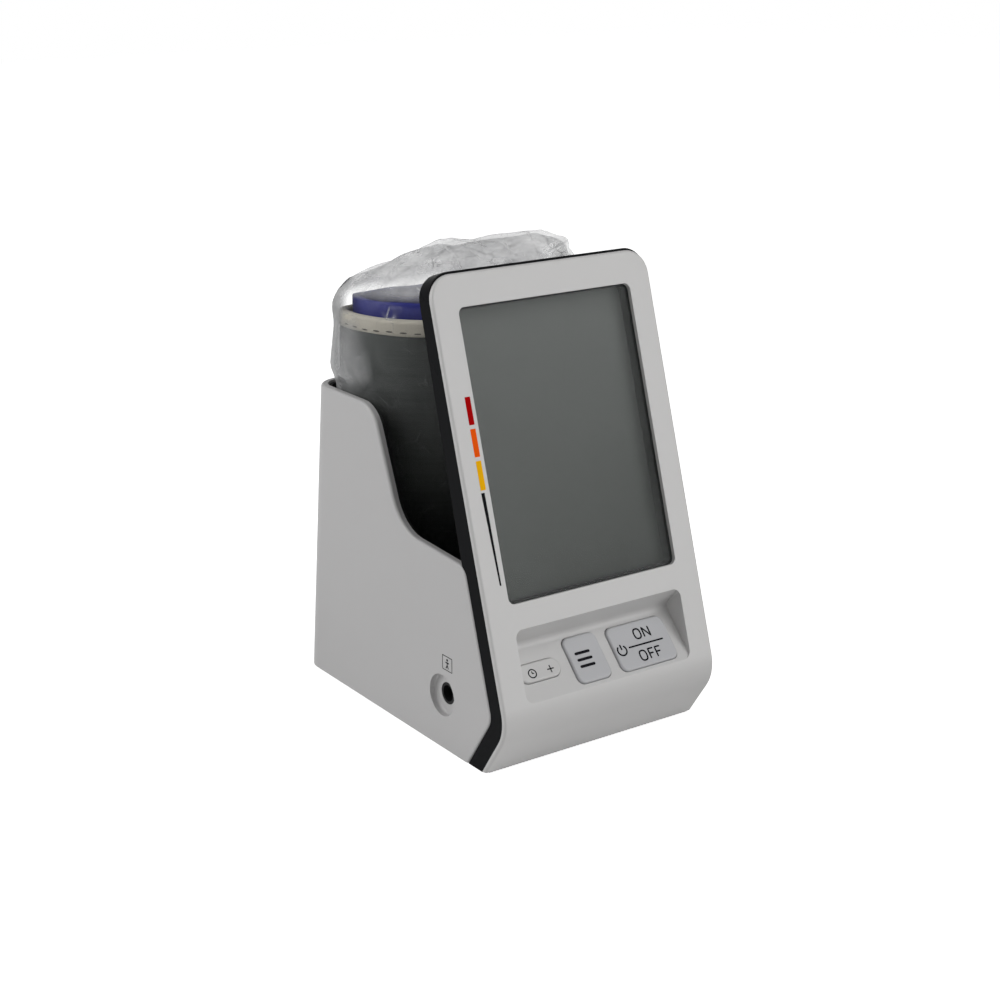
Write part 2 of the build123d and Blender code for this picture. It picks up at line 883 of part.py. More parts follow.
# Display back cover: flange with a raised middle, open at the front
cover_half = band_inner_half - seam
cover_top = band_half_top - band_wall - seam
with BuildPart() as display_back:
    with BuildSketch(face_plane.offset(-cover_depth)):
        with BuildLine():
            FilletPolyline(
                (-cover_half, cover_low),
                (-cover_half, cover_top),
                (cover_half, cover_top),
                (cover_half, cover_low),
                radius=[edge_break, face_corner - band_wall, face_corner - band_wall, edge_break],
                close=True,
            )
        make_face()
    extrude(amount=-cover_wall)
    with BuildSketch(face_plane.offset(-cover_depth)):
        with Locations((0, (hump_low + hump_high) / 2)):
            RectangleRounded(hump_width, hump_high - hump_low, hump_corner)
    extrude(amount=-(hump_depth - cover_depth))
    hump_rim = display_back.edges().filter_by(
        lambda edge: abs(behind_depth(edge.center().Y, edge.center().Z) - hump_depth) < seam
    )
    fillet(hump_rim, cover_wall)
    with BuildSketch(face_plane.offset(-cover_depth)):
        with Locations((0, (hump_low + hump_high) / 2)):
            RectangleRounded(
                hump_width - cover_wall * 2, hump_high - hump_low - cover_wall * 2, hump_corner - cover_wall
            )
    extrude(amount=-(hump_depth - cover_depth - cover_wall), mode=Mode.SUBTRACT)
    with BuildSketch(face_plane.offset(-(hump_depth - cover_wall * 2))):
        with Locations((0, hump_low)):
            Rectangle(cover_slot_width, cover_wall * 4)
    extrude(amount=-cover_wall, mode=Mode.SUBTRACT)
    with BuildSketch(face_plane):
        with Locations(*post_places):
            Circle(screw_radius + screw_play)
    extrude(amount=-hump_depth, mode=Mode.SUBTRACT)
    with BuildSketch(face_plane.offset(-(hump_depth - cover_wall))):
        with Locations(*board_pad_places):
            Circle(board_margin)
    extrude(amount=hump_depth - cover_wall - main_back)
display_back.part.label = "display_back"

# Display lens, LCD frame, LCD panel and the rubber strip that joins the panel to the board
with BuildPart() as display_lens:
    with BuildSketch(face_plane.offset(-bezel_wall)):
        with Locations((0, window_middle)):
            RectangleRounded(
                window_width + lens_margin * 2, window_height + lens_margin * 2, window_corner + lens_margin
            )
    extrude(amount=-lens_thickness)
display_lens.part.label = "display_lens"

with BuildPart() as lcd_frame:
    with BuildSketch(face_plane.offset(-lens_back)):
        with Locations((0, window_middle)):
            RectangleRounded(
                window_width + frame_wall * 2, window_height + frame_wall * 2, window_corner + frame_wall
            )
    extrude(amount=-(panel_back - lens_back))
    with BuildSketch(face_plane.offset(-lens_back)):
        with Locations((0, window_middle)):
            RectangleRounded(
                window_width - frame_lip * 2, window_height - frame_lip * 2, window_corner - frame_lip
            )
    extrude(amount=-panel_back, mode=Mode.SUBTRACT)
    with BuildSketch(face_plane.offset(-lcd_depth)):
        with Locations((0, window_middle)):
            Rectangle(window_width + lcd_margin * 2, window_height + lcd_margin * 2)
    extrude(amount=-panel_back, mode=Mode.SUBTRACT)
    with BuildSketch(face_plane.offset(-panel_back)):
        with Locations((0, window_middle)):
            with GridLocations(window_width + frame_wall, window_height - window_corner * 4, 2, 2):
                Rectangle(pad_width, window_corner * 2)
    extrude(amount=-board_gap)
lcd_frame.part.label = "lcd_frame"

with BuildPart() as lcd_panel:
    with BuildSketch(face_plane.offset(-lcd_depth)):
        with Locations((0, window_middle)):
            Rectangle(panel_width, panel_height)
    extrude(amount=-lcd_thickness)
lcd_panel.part.label = "lcd_panel"

with BuildPart() as lcd_connector:
    with BuildSketch(face_plane.offset(-panel_back)):
        with Locations((0, window_middle)):
            with GridLocations(0, panel_height - connector_inset * 2, 1, 2):
                Rectangle(connector_length, connector_width)
    extrude(amount=-board_gap)
lcd_connector.part.label = "lcd_connector"

# Main board behind the LCD, with its chips and buzzer
with BuildPart() as main_board:
    with BuildSketch(face_plane.offset(-main_front)):
        with Locations((0, (board_low + board_high) / 2)):
            RectangleRounded(board_width, board_high - board_low, board_margin)
    extrude(amount=-board_thickness)
main_board.part.label = "main_board"

with BuildPart() as board_chips:
    with BuildSketch(face_plane.offset(-main_back)):
        with Locations((0, processor_up)):
            Rectangle(processor_size, processor_size)
        with Locations((memory_chip_x, memory_chip_up)):
            Rectangle(memory_chip_width, memory_chip_height)
        with Locations((driver_chip_x, driver_chip_up)):
            Rectangle(memory_chip_height, memory_chip_width)
    extrude(amount=-chip_height)
board_chips.part.label = "board_chips"

with BuildPart() as buzzer:
    with BuildSketch(face_plane.offset(-main_back)):
        with Locations((buzzer_x, buzzer_up)):
            Circle(buzzer_radius)
            Circle(nozzle_bore, mode=Mode.SUBTRACT)
    extrude(amount=-buzzer_height)
buzzer.part.label = "buzzer"

# Start, memory and set keys on the sloped floor, each with a flange under it
with BuildPart() as start_button:
    with BuildSketch(floor_plane.offset(-flange_top - key_flange_thickness)):
        with Locations((start_key_x, start_key_up)):
            RectangleRounded(
                start_key_width + key_flange * 2, start_key_height + key_flange * 2, key_corner + key_flange
            )
    extrude(amount=key_flange_thickness)
    with BuildSketch(floor_plane.offset(-flange_top)):
        with Locations((start_key_x, start_key_up)):
            RectangleRounded(start_key_width, start_key_height, key_corner)
    extrude(amount=flange_top + key_rise)
    fillet(start_button.faces().sort_by(Axis(floor_plane.origin, floor_plane.z_dir))[-1].edges(), key_edge)
start_button.part.label = "start_button"

with BuildPart() as memory_button:
    with BuildSketch(floor_plane.offset(-flange_top - key_flange_thickness)):
        with Locations((memory_key_x, memory_key_up)):
            RectangleRounded(
                memory_key_width + key_flange * 2,
                memory_key_height + key_flange * 2,
                key_corner + key_flange,
            )
    extrude(amount=key_flange_thickness)
    with BuildSketch(floor_plane.offset(-flange_top)):
        with Locations((memory_key_x, memory_key_up)):
            RectangleRounded(memory_key_width, memory_key_height, key_corner)
    extrude(amount=flange_top + key_rise)
    fillet(memory_button.faces().sort_by(Axis(floor_plane.origin, floor_plane.z_dir))[-1].edges(), key_edge)
memory_button.part.label = "memory_button"

with BuildPart() as set_rocker:
    with BuildSketch(floor_plane.offset(-flange_top - key_flange_thickness)):
        with Locations((set_key_x, set_key_up)):
            RectangleRounded(rocker_flange_width, set_key_height + key_flange * 2, key_flange)
    extrude(amount=key_flange_thickness - rocker_lift + key_lift)
    with BuildSketch(floor_plane.offset(-flange_top - key_flange_thickness)):
        with Locations((set_key_x, set_key_up)):
            SlotOverall(set_key_width, set_key_height)
    extrude(amount=flange_top + key_flange_thickness + key_rise)
    fillet(set_rocker.faces().sort_by(Axis(floor_plane.origin, floor_plane.z_dir))[-1].edges(), key_edge)
set_rocker.part.label = "set_rocker"

# Silicone membrane with a bump under each key, metal domes in its pockets, and the key board
bump_places = [
    (start_key_x - start_key_width / 4, start_key_up),
    (start_key_x + start_key_width / 4, start_key_up),
    (memory_key_x, memory_key_up),
    (set_key_x - bump_spacing / 2, set_key_up),
    (set_key_x + bump_spacing / 2, set_key_up),
]
with BuildPart() as keypad_membrane:
    with BuildSketch(floor_plane.offset(-board_front)):
        with Locations((0, set_key_up)):
            RectangleRounded(membrane_width, membrane_height, key_corner)
        with Locations(*stud_places):
            Circle(stud_radius + key_clearance, mode=Mode.SUBTRACT)
    extrude(amount=membrane_thickness)
    with BuildSketch(floor_plane.offset(-membrane_top)):
        with Locations(*bump_places):
            Circle(bump_radius)
    extrude(amount=bump_height)
    with BuildSketch(floor_plane.offset(-board_front)):
        with Locations(*bump_places):
            Circle(dome_radius + dome_play)
    extrude(amount=dome_thickness + dome_play, mode=Mode.SUBTRACT)
keypad_membrane.part.label = "keypad_membrane"

with BuildPart() as key_domes:
    with BuildSketch(floor_plane.offset(-board_front)):
        with Locations(*bump_places):
            Circle(dome_radius)
    extrude(amount=dome_thickness)
key_domes.part.label = "key_domes"

key_board_back = board_front + key_board_thickness
with BuildPart() as key_board:
    with BuildSketch(floor_plane.offset(-board_front)):
        with Locations((0, set_key_up)):
            RectangleRounded(key_board_width, key_board_height, key_edge)
        with Locations(*stud_places):
            Circle(small_screw_radius + screw_play, mode=Mode.SUBTRACT)
    extrude(amount=-key_board_thickness)
key_board.part.label = "key_board"

with BuildPart() as key_board_screws:
    with BuildSketch(floor_plane.offset(-key_board_back)):
        with Locations(*stud_places):
            Circle(small_screw_radius)
    extrude(amount=small_screw_length - seam)
    with BuildSketch(floor_plane.offset(-key_board_back)):
        with Locations(*stud_places):
            Circle(small_screw_head_radius)
    extrude(amount=-small_screw_head_height)
    with BuildSketch(floor_plane.offset(-key_board_back - small_screw_head_height)):
        with Locations(*stud_places):
            Rectangle(small_screw_head_radius, slot_width)
    extrude(amount=slot_depth, mode=Mode.SUBTRACT)
key_board_screws.part.label = "key_board_screws"

# Display screws through the back cover's flange into the bezel's posts
cover_back = cover_depth + cover_wall
with BuildPart() as display_screws:
    with BuildSketch(face_plane.offset(-cover_back)):
        with Locations(*post_places):
            Circle(screw_radius)
    extrude(amount=screw_length)
    with BuildSketch(face_plane.offset(-cover_back)):
        with Locations(*post_places):
            Circle(screw_head_radius)
    extrude(amount=-screw_head_height)
    with BuildSketch(face_plane.offset(-cover_back - screw_head_height)):
        with Locations(*post_places):
            Rectangle(screw_head_radius, slot_width)
            Rectangle(slot_width, screw_head_radius)
    extrude(amount=slot_depth, mode=Mode.SUBTRACT)
display_screws.part.label = "display_screws"

# Air jack: a socket in the left wall's dimple, with a nozzle inside, and its seal
jack_seat_x = -half_width + dimple_depth + dimple_skin
jack_front_x = -half_width + dimple_depth
jack_back_x = jack_front_x + jack_bore_length + jack_end_wall
manifold_x = jack_back_x + manifold_right_of_jack
pump_head_x = manifold_x + pump_right
with BuildPart() as air_jack:
    with BuildSketch(Plane.YZ.offset(jack_front_x)):
        with Locations((jack_y, jack_z)):
            Circle(jack_body_radius)
    extrude(amount=jack_back_x - jack_front_x)
    with BuildSketch(Plane.YZ.offset(jack_seat_x + seal_thickness)):
        with Locations((jack_y, jack_z)):
            Circle(jack_flange_radius)
    extrude(amount=jack_flange_thickness)
    with BuildSketch(Plane.YZ.offset(jack_back_x)):
        with Locations((jack_y, jack_z)):
            Circle(nozzle_radius)
    extrude(amount=nozzle_length)
    with BuildSketch(Plane.YZ.offset(jack_front_x)):
        with Locations((jack_y, jack_z)):
            Circle(jack_bore_radius)
    extrude(amount=jack_bore_length, mode=Mode.SUBTRACT)
    with BuildSketch(Plane.YZ.offset(jack_front_x)):
        with Locations((jack_y, jack_z)):
            Circle(nozzle_bore)
    extrude(amount=jack_back_x - jack_front_x + nozzle_length, mode=Mode.SUBTRACT)
air_jack.part.label = "air_jack"

with BuildPart() as jack_seal:
    with BuildSketch(Plane.YZ.offset(jack_seat_x)):
        with Locations((jack_y, jack_z)):
            Circle(jack_flange_radius)
            Circle(jack_body_radius + screw_play, mode=Mode.SUBTRACT)
    extrude(amount=seal_thickness)
jack_seal.part.label = "jack_seal"

# Air manifold on the jack's axis, with nozzles to the jack, pump, valve and sensor
manifold_left = manifold_x - manifold_size / 2
manifold_right = manifold_x + manifold_size / 2
manifold_rear = jack_y + manifold_size / 2
manifold_top = jack_z + manifold_size / 2
with BuildPart() as air_manifold:
    with BuildSketch(Plane.XY.offset(jack_z)):
        with Locations((manifold_x, jack_y)):
            RectangleRounded(manifold_size, manifold_size, edge_break)
    extrude(amount=manifold_size / 2, both=True)
    with BuildSketch(Plane.YZ.offset(manifold_left - nozzle_length)):
        with Locations((jack_y, jack_z)):
            Circle(nozzle_radius)
    extrude(amount=manifold_size + nozzle_length * 2)
    with BuildSketch(Plane.XZ.offset(-manifold_rear)):
        with Locations((manifold_x, jack_z)):
            Circle(nozzle_radius)
    extrude(amount=-nozzle_length)
    with BuildSketch(Plane.XY.offset(manifold_top)):
        with Locations((manifold_x, jack_y)):
            Circle(nozzle_radius)
    extrude(amount=nozzle_length)
air_manifold.part.label = "air_manifold"

# Pump head and motor, lying across the base in a rubber cradle
motor_x = pump_head_x + pump_head_length
motor_length = shell_inner_half - motor_end_gap - motor_x
cradle_length = motor_length - cradle_short
pump_y = jack_y + pump_head_size / 2 - cradle_inset
with BuildPart() as pump_head:
    with BuildSketch(Plane.YZ.offset(pump_head_x)):
        with Locations((pump_y, motor_z)):
            RectangleRounded(pump_head_size, pump_head_size, pump_edge)
    extrude(amount=pump_head_length)
    with BuildSketch(Plane.YZ.offset(pump_head_x)):
        with Locations((jack_y, jack_z)):
            Circle(nozzle_radius)
    extrude(amount=-nozzle_length)
    with BuildSketch(Plane.YZ.offset(motor_x)):
        with Locations((pump_y, motor_z)):
            Circle(motor_shaft_radius + screw_play)
    extrude(amount=-motor_shaft_length - seam, mode=Mode.SUBTRACT)
pump_head.part.label = "pump_head"

with BuildPart() as pump_motor:
    with BuildSketch(Plane.YZ.offset(motor_x)):
        with Locations((pump_y, motor_z)):
            Circle(motor_radius)
    extrude(amount=motor_length)
    fillet(pump_motor.edges().filter_by(GeomType.CIRCLE).group_by(Axis.X)[-1], edge_break)
    with BuildSketch(Plane.YZ.offset(motor_x)):
        with Locations((pump_y, motor_z)):
            Circle(motor_shaft_radius)
    extrude(amount=-motor_shaft_length)
    with BuildSketch(Plane.YZ.offset(motor_x + motor_length)):
        with Locations((pump_y, motor_z)):
            Circle(motor_shaft_radius * 2)
    extrude(amount=motor_shaft_length / 2)
pump_motor.part.label = "pump_motor"

with BuildPart() as pump_cradle:
    with BuildSketch(Plane.YZ.offset(motor_x + cradle_inset)):
        with Locations((pump_y, base_top)):
            Rectangle(cradle_width, cradle_height, align=(Align.CENTER, Align.MIN))
        with Locations((pump_y, motor_z)):
            Circle(motor_radius + cradle_play, mode=Mode.SUBTRACT)
    extrude(amount=cradle_length)
pump_cradle.part.label = "pump_cradle"

# Release valve behind the manifold
with BuildPart() as release_valve:
    with BuildSketch(Plane.XY.offset(base_top)):
        with Locations((manifold_x, valve_y)):
            RectangleRounded(valve_size, valve_size, edge_break)
    extrude(amount=valve_height)
    with BuildSketch(Plane.XZ.offset(-(valve_y - valve_size / 2))):
        with Locations((manifold_x, jack_z)):
            Circle(nozzle_radius)
    extrude(amount=nozzle_length / 2)
release_valve.part.label = "release_valve"

# Power board on the liner's front wall, with pressure sensor and capacitors
power_front_y = pocket_wall_y - power_stud_height - power_board_thickness
power_middle = (power_board_low + power_board_high) / 2
with BuildPart() as power_board:
    with BuildSketch(Plane.XZ.offset(-power_front_y)):
        with Locations((0, power_middle)):
            RectangleRounded(power_board_width, power_board_high - power_board_low, board_margin)
        with Locations(*power_places):
            Circle(small_screw_radius + screw_play, mode=Mode.SUBTRACT)
    extrude(amount=-power_board_thickness)
power_board.part.label = "power_board"

with BuildPart() as power_board_screws:
    with BuildSketch(Plane.XZ.offset(-power_front_y)):
        with Locations(*power_places):
            Circle(small_screw_radius)
    extrude(amount=-power_board_thickness)
    with BuildSketch(Plane.XZ.offset(-power_front_y)):
        with Locations(*power_places):
            Circle(small_screw_head_radius)
    extrude(amount=small_screw_head_height)
    with BuildSketch(Plane.XZ.offset(-power_front_y + small_screw_head_height)):
        with Locations(*power_places):
            Rectangle(small_screw_head_radius, slot_width)
    extrude(amount=-slot_depth, mode=Mode.SUBTRACT)
power_board_screws.part.label = "power_board_screws"

sensor_front_y = power_front_y - sensor_depth
with BuildPart() as pressure_sensor:
    with BuildSketch(Plane.XZ.offset(-power_front_y)):
        with Locations((manifold_x, sensor_z)):
            RectangleRounded(sensor_width, sensor_width, edge_break)
    extrude(amount=sensor_depth)
    with BuildSketch(Plane.XZ.offset(-sensor_front_y)):
        with Locations((manifold_x, sensor_z)):
            Circle(nozzle_radius)
    extrude(amount=nozzle_length / 2)
pressure_sensor.part.label = "pressure_sensor"

with BuildPart() as capacitors:
    with BuildSketch(Plane.XZ.offset(-power_front_y)):
        with Locations((capacitor_x, power_middle), (capacitor_x + capacitor_pitch, power_middle)):
            Circle(capacitor_radius)
    extrude(amount=capacitor_height)
capacitors.part.label = "capacitors"

# Air tubes: jack to manifold, manifold to pump, manifold to valve, manifold to sensor
with BuildPart() as air_tubes:
    with BuildSketch(Plane.YZ.offset(jack_back_x)):
        with Locations((jack_y, jack_z)):
            Circle(tube_radius)
            Circle(nozzle_radius, mode=Mode.SUBTRACT)
    extrude(amount=manifold_left - jack_back_x)
    with BuildSketch(Plane.YZ.offset(manifold_right)):
        with Locations((jack_y, jack_z)):
            Circle(tube_radius)
            Circle(nozzle_radius, mode=Mode.SUBTRACT)
    extrude(amount=pump_head_x - manifold_right)
    with BuildSketch(Plane.XZ.offset(-manifold_rear)):
        with Locations((manifold_x, jack_z)):
            Circle(tube_radius)
            Circle(nozzle_radius, mode=Mode.SUBTRACT)
    extrude(amount=-(valve_y - valve_size / 2 - manifold_rear))
    with BuildLine(Plane.YZ.offset(manifold_x)) as sensor_route:
        FilletPolyline(
            (jack_y, manifold_top), (jack_y, sensor_z), (sensor_front_y, sensor_z), radius=tube_bend
        )
    with BuildSketch(Plane.XY.offset(manifold_top)):
        with Locations((manifold_x, jack_y)):
            Circle(tube_radius)
            Circle(nozzle_radius, mode=Mode.SUBTRACT)
    sweep(path=sensor_route.wires()[0])
air_tubes.part.label = "air_tubes"

# Flat ribbon from the main board to the power board
ribbon_start = behind(ribbon_exit, main_back + ribbon_thickness / 2)
with BuildPart() as ribbon_cable:
    with BuildLine(Plane.YZ) as ribbon_route:
        FilletPolyline(
            behind(ribbon_top, main_back + ribbon_thickness / 2),
            ribbon_start,
            (ribbon_start[0] + ribbon_fall, ribbon_level),
            (power_front_y - ribbon_thickness / 2, ribbon_level),
            (power_front_y - ribbon_thickness / 2, ribbon_end),
            radius=ribbon_bend,
        )
    ribbon_wire = ribbon_route.wires()[0]
    with BuildSketch(Plane(origin=ribbon_wire @ 0, x_dir=(1, 0, 0), z_dir=ribbon_wire % 0)):
        Rectangle(ribbon_width, ribbon_thickness)
    sweep(path=ribbon_route.wires()[0])
ribbon_cable.part.label = "ribbon_cable"

# Base plate: underside with the door slot, rail grooves and the battery bay's walls and ceiling
bay_top = liner_low - seam
base_front_y = foot_point(shell_front_depth, foot_gap)[0]
door_rear_y = body_depth / 2 - door_play
rail_low = foot_gap + (base_thickness - rail_height) / 2
plate_rear_y = rear_y(foot_gap) - (shell_wall + seam) / cos(rear_lean)
foot_places = [(x, y) for x in (-foot_x, foot_x) for y in (foot_front_y, foot_rear_y)]
with BuildPart() as base_plate:
    with BuildSketch(Plane.XY.offset(foot_gap)):
        with BuildLine():
            FilletPolyline(
                *plan_corners(liner_half, shell_wall + seam * 2, base_top),
                radius=plan_radii(liner_corner),
                close=True,
            )
        make_face()
        with Locations((0, base_front_y + seam)):
            Rectangle(body_width, body_depth, align=(Align.CENTER, Align.MAX), mode=Mode.SUBTRACT)
    extrude(amount=base_thickness)
    with BuildSketch(Plane.XY.offset(base_top)):
        with Locations((0, bay_centre_y)):
            Rectangle(bay_half * 2 + bay_wall * 2, bay_half_depth * 2 + bay_wall * 2)
    extrude(amount=bay_top - base_top)
    with BuildSketch(Plane.XY.offset(foot_gap)):
        with Locations((0, bay_centre_y)):
            Rectangle(bay_half * 2, bay_half_depth * 2)
    extrude(amount=bay_top - bay_wall - foot_gap, mode=Mode.SUBTRACT)
    with BuildSketch(Plane.XY.offset(foot_gap)):
        with Locations((0, bay_front_y)):
            Rectangle(bay_half * 2, body_depth, align=(Align.CENTER, Align.MIN))
    extrude(amount=base_thickness, mode=Mode.SUBTRACT)
    with BuildSketch(Plane.XY.offset(rail_low - screw_play)):
        with Locations((0, bay_front_y)):
            Rectangle(rail_half * 2 + door_play * 2, body_depth, align=(Align.CENTER, Align.MIN))
    extrude(amount=rail_height + screw_play * 2, mode=Mode.SUBTRACT)
    with BuildSketch(Plane.XY.offset(foot_gap)):
        with Locations(*foot_places):
            Circle(foot_radius + screw_play)
    extrude(amount=foot_recess, mode=Mode.SUBTRACT)
    with BuildSketch(Plane.XY.offset(foot_gap)):
        with Locations(*boss_places):
            Circle(base_screw_head_radius + screw_play)
    extrude(amount=base_screw_head_height, mode=Mode.SUBTRACT)
    with BuildSketch(Plane.XY.offset(foot_gap)):
        with Locations(*boss_places):
            Circle(base_screw_radius + screw_play)
    extrude(amount=base_thickness, mode=Mode.SUBTRACT)
base_plate.part.label = "base_plate"

# Battery door: slides out to the rear on side rails, with grip ribs underneath
with BuildPart() as battery_door:
    with BuildSketch(Plane.XY.offset(foot_gap)):
        with Locations((0, bay_front_y + door_play)):
            Rectangle(door_half * 2, door_rear_y - bay_front_y - door_play, align=(Align.CENTER, Align.MIN))
        with Locations((0, door_rear_y)):
            Rectangle(rail_half * 2, door_rear_y - plate_rear_y - seam, align=(Align.CENTER, Align.MAX))
    extrude(amount=base_thickness - screw_play)
    with BuildSketch(Plane.XY.offset(rail_low)):
        with Locations((0, bay_front_y + door_play)):
            Rectangle(rail_half * 2, bay_half_depth * 2 - door_play, align=(Align.CENTER, Align.MIN))
    extrude(amount=rail_height)
    with BuildSketch(Plane.XY.offset(foot_gap)):
        rib_rows = [door_rear_y - door_rib_inset - row * door_rib_pitch for row in range(door_rib_count)]
        with Locations(*[(0, rib_y) for rib_y in rib_rows]):
            SlotOverall(door_rib_length, door_rib_width)
    extrude(amount=-door_rib_height)
battery_door.part.label = "battery_door"

# Four AA cells side by side, every second one turned round
cell_z = base_top + bay_play + cell_radius
cell_rows = [bay_centre_y + (row - (cell_count - 1) / 2) * cell_pitch for row in range(cell_count)]
cell_end = (cell_length + cell_nub_length) / 2
with BuildPart() as battery_cells:
    for row, cell_y in enumerate(cell_rows):
        side = 1 if row % 2 else -1
        with BuildSketch(Plane.YZ.offset(-side * cell_end)):
            with Locations((cell_y, cell_z)):
                Circle(cell_radius)
        extrude(amount=side * cell_length)
        with BuildSketch(Plane.YZ.offset(side * cell_end)):
            with Locations((cell_y, cell_z)):
                Circle(cell_nub_radius)
        extrude(amount=-side * cell_nub_length)
battery_cells.part.label = "battery_cells"

# Contact plates with a bent leaf at both ends of each cell
leaf_tip = cell_end + contact_thickness / 4
leaf_root = bay_half - contact_thickness
with BuildPart() as battery_contacts:
    for cell_y in cell_rows:
        for side in (-1, 1):
            with BuildSketch(Plane.XY.offset(cell_z - contact_height / 2)):
                with Locations((side * (bay_half - contact_thickness / 2), cell_y)):
                    Rectangle(contact_thickness, contact_width)
            extrude(amount=contact_height)
            with BuildSketch(Plane.XY.offset(cell_z - leaf_width / 2)):
                with BuildLine():
                    Polyline(
                        (side * leaf_root, cell_y - leaf_reach),
                        (side * leaf_tip, cell_y),
                        (side * leaf_root, cell_y + leaf_reach),
                        (side * leaf_root, cell_y + leaf_reach - contact_thickness),
                        (side * (leaf_tip + contact_thickness), cell_y),
                        (side * leaf_root, cell_y - leaf_reach + contact_thickness),
                        close=True,
                    )
                make_face()
            extrude(amount=leaf_width)
battery_contacts.part.label = "battery_contacts"

with BuildPart() as rubber_feet:
    with BuildSketch(Plane.XY):
        with Locations(*foot_places):
            Circle(foot_radius)
    extrude(amount=foot_gap + foot_recess)
    fillet(rubber_feet.edges().group_by(Axis.Z)[0], edge_break / 2)
rubber_feet.part.label = "rubber_feet"

screw_seat_z = foot_gap + base_screw_head_height
with BuildPart() as base_screws:
    with BuildSketch(Plane.XY.offset(screw_seat_z)):
        with Locations(*boss_places):
            Circle(base_screw_radius)
    extrude(amount=base_screw_length - screw_play * 4)
    with BuildSketch(Plane.XY.offset(screw_seat_z)):
        with Locations(*boss_places):
            Circle(base_screw_head_radius)
    extrude(amount=-base_screw_head_height + screw_play)
    with BuildSketch(Plane.XY.offset(foot_gap + screw_play)):
        with Locations(*boss_places):
            Rectangle(base_screw_head_radius, slot_width)
            Rectangle(slot_width, base_screw_head_radius)
    extrude(amount=slot_depth, mode=Mode.SUBTRACT)
base_screws.part.label = "base_screws"

# Rolled cuff: sleeve, edge bindings, bladder, lining, inner wrap and hook strip
sleeve_low = cuff_bottom + binding_height
sleeve_top = cuff_top - binding_height
with BuildPart() as cuff_sleeve:
    with BuildSketch(Plane.XY.offset(sleeve_low)):
        draw_cuff(0)
    extrude(amount=sleeve_top - sleeve_low)
    with BuildSketch(Plane.XY.offset(sleeve_low)):
        draw_cuff(sleeve_thickness)
    extrude(amount=sleeve_top - sleeve_low, mode=Mode.SUBTRACT)
cuff_sleeve.part.label = "cuff_sleeve"

with BuildPart() as cuff_binding:
    for low in (cuff_bottom, sleeve_top):
        with BuildSketch(Plane.XY.offset(low)):
            draw_cuff(-binding_proud)
        extrude(amount=binding_height)
    fillet(cuff_binding.edges().group_by(Axis.Z)[-1], binding_round)
    fillet(cuff_binding.edges().group_by(Axis.Z)[0], binding_round)
    with BuildSketch(Plane.XY.offset(cuff_bottom - overrun)):
        draw_cuff(sleeve_thickness)
    extrude(amount=cuff_height + overrun * 2, mode=Mode.SUBTRACT)
cuff_binding.part.label = "cuff_binding"

bladder_outer = sleeve_thickness + cloth_gap
lining_outer = bladder_outer + bladder_thickness + cloth_gap
wrap_outer = lining_outer + lining_thickness + wrap_gap
with BuildPart() as cuff_bladder:
    with BuildSketch(Plane.XY.offset(cuff_bottom + bladder_inset)):
        draw_cuff(bladder_outer)
    extrude(amount=cuff_height - bladder_inset * 2)
    with BuildSketch(Plane.XY.offset(cuff_bottom + bladder_inset)):
        draw_cuff(bladder_outer + bladder_thickness)
        with Locations((0, cuff_back_y)):
            Rectangle(bladder_gap_width, cuff_back_round * 2)
    extrude(amount=cuff_height - bladder_inset * 2, mode=Mode.SUBTRACT)
cuff_bladder.part.label = "cuff_bladder"

with BuildPart() as cuff_lining:
    with BuildSketch(Plane.XY.offset(cuff_bottom + lining_sink)):
        draw_cuff(lining_outer)
    extrude(amount=cuff_height + lining_rise - lining_sink)
    with BuildSketch(Plane.XY.offset(cuff_bottom + lining_sink)):
        draw_cuff(lining_outer + lining_thickness)
    extrude(amount=cuff_height + lining_rise - lining_sink, mode=Mode.SUBTRACT)
cuff_lining.part.label = "cuff_lining"

with BuildPart() as cuff_inner_wrap:
    with BuildSketch(Plane.XY.offset(cuff_bottom)):
        draw_cuff(wrap_outer)
    extrude(amount=cuff_height - wrap_drop)
    with BuildSketch(Plane.XY.offset(cuff_bottom)):
        draw_cuff(wrap_outer + wrap_thickness)
        with Locations((0, cuff_back_y)):
            Rectangle(wrap_opening, (wrap_outer + wrap_thickness) * 2)
    extrude(amount=cuff_height - wrap_drop, mode=Mode.SUBTRACT)
cuff_inner_wrap.part.label = "cuff_inner_wrap"

hook_low = cuff_bottom + (cuff_height - hook_height) / 2
hook_outer = wrap_outer + wrap_thickness
with BuildPart() as cuff_hook_strip:
    with BuildSketch(Plane.XY.offset(hook_low)):
        draw_cuff(hook_outer)
    extrude(amount=hook_height)
    with BuildSketch(Plane.XY.offset(hook_low)):
        draw_cuff(hook_outer + hook_thickness)
    extrude(amount=hook_height, mode=Mode.SUBTRACT)
    with BuildSketch(Plane.XY.offset(hook_low)):
        with Locations((0, cuff_centre_y - cuff_front_reach)):
            Rectangle(hook_width, cuff_front_reach)
    extrude(amount=hook_height, mode=Mode.INTERSECT)
cuff_hook_strip.part.label = "cuff_hook_strip"


def draw_bag(section, skin):
    """Draws one section of the film bag, moved in by a skin, in the open sketch."""
    middle, half, reach, centre, back, corner = section
    left = middle - half + skin
    right = middle + half - skin
    with BuildLine() as outline:
        EllipticalCenterArc(
            center=(middle, centre),
            x_radius=half - skin,
            y_radius=reach - skin,
            start_angle=half_turn,
            arc_size=half_turn,
        )
        FilletPolyline(
            (right, centre), (right, back - skin), (left, back - skin), (left, centre), radius=corner
        )
    make_face(outline.edges())


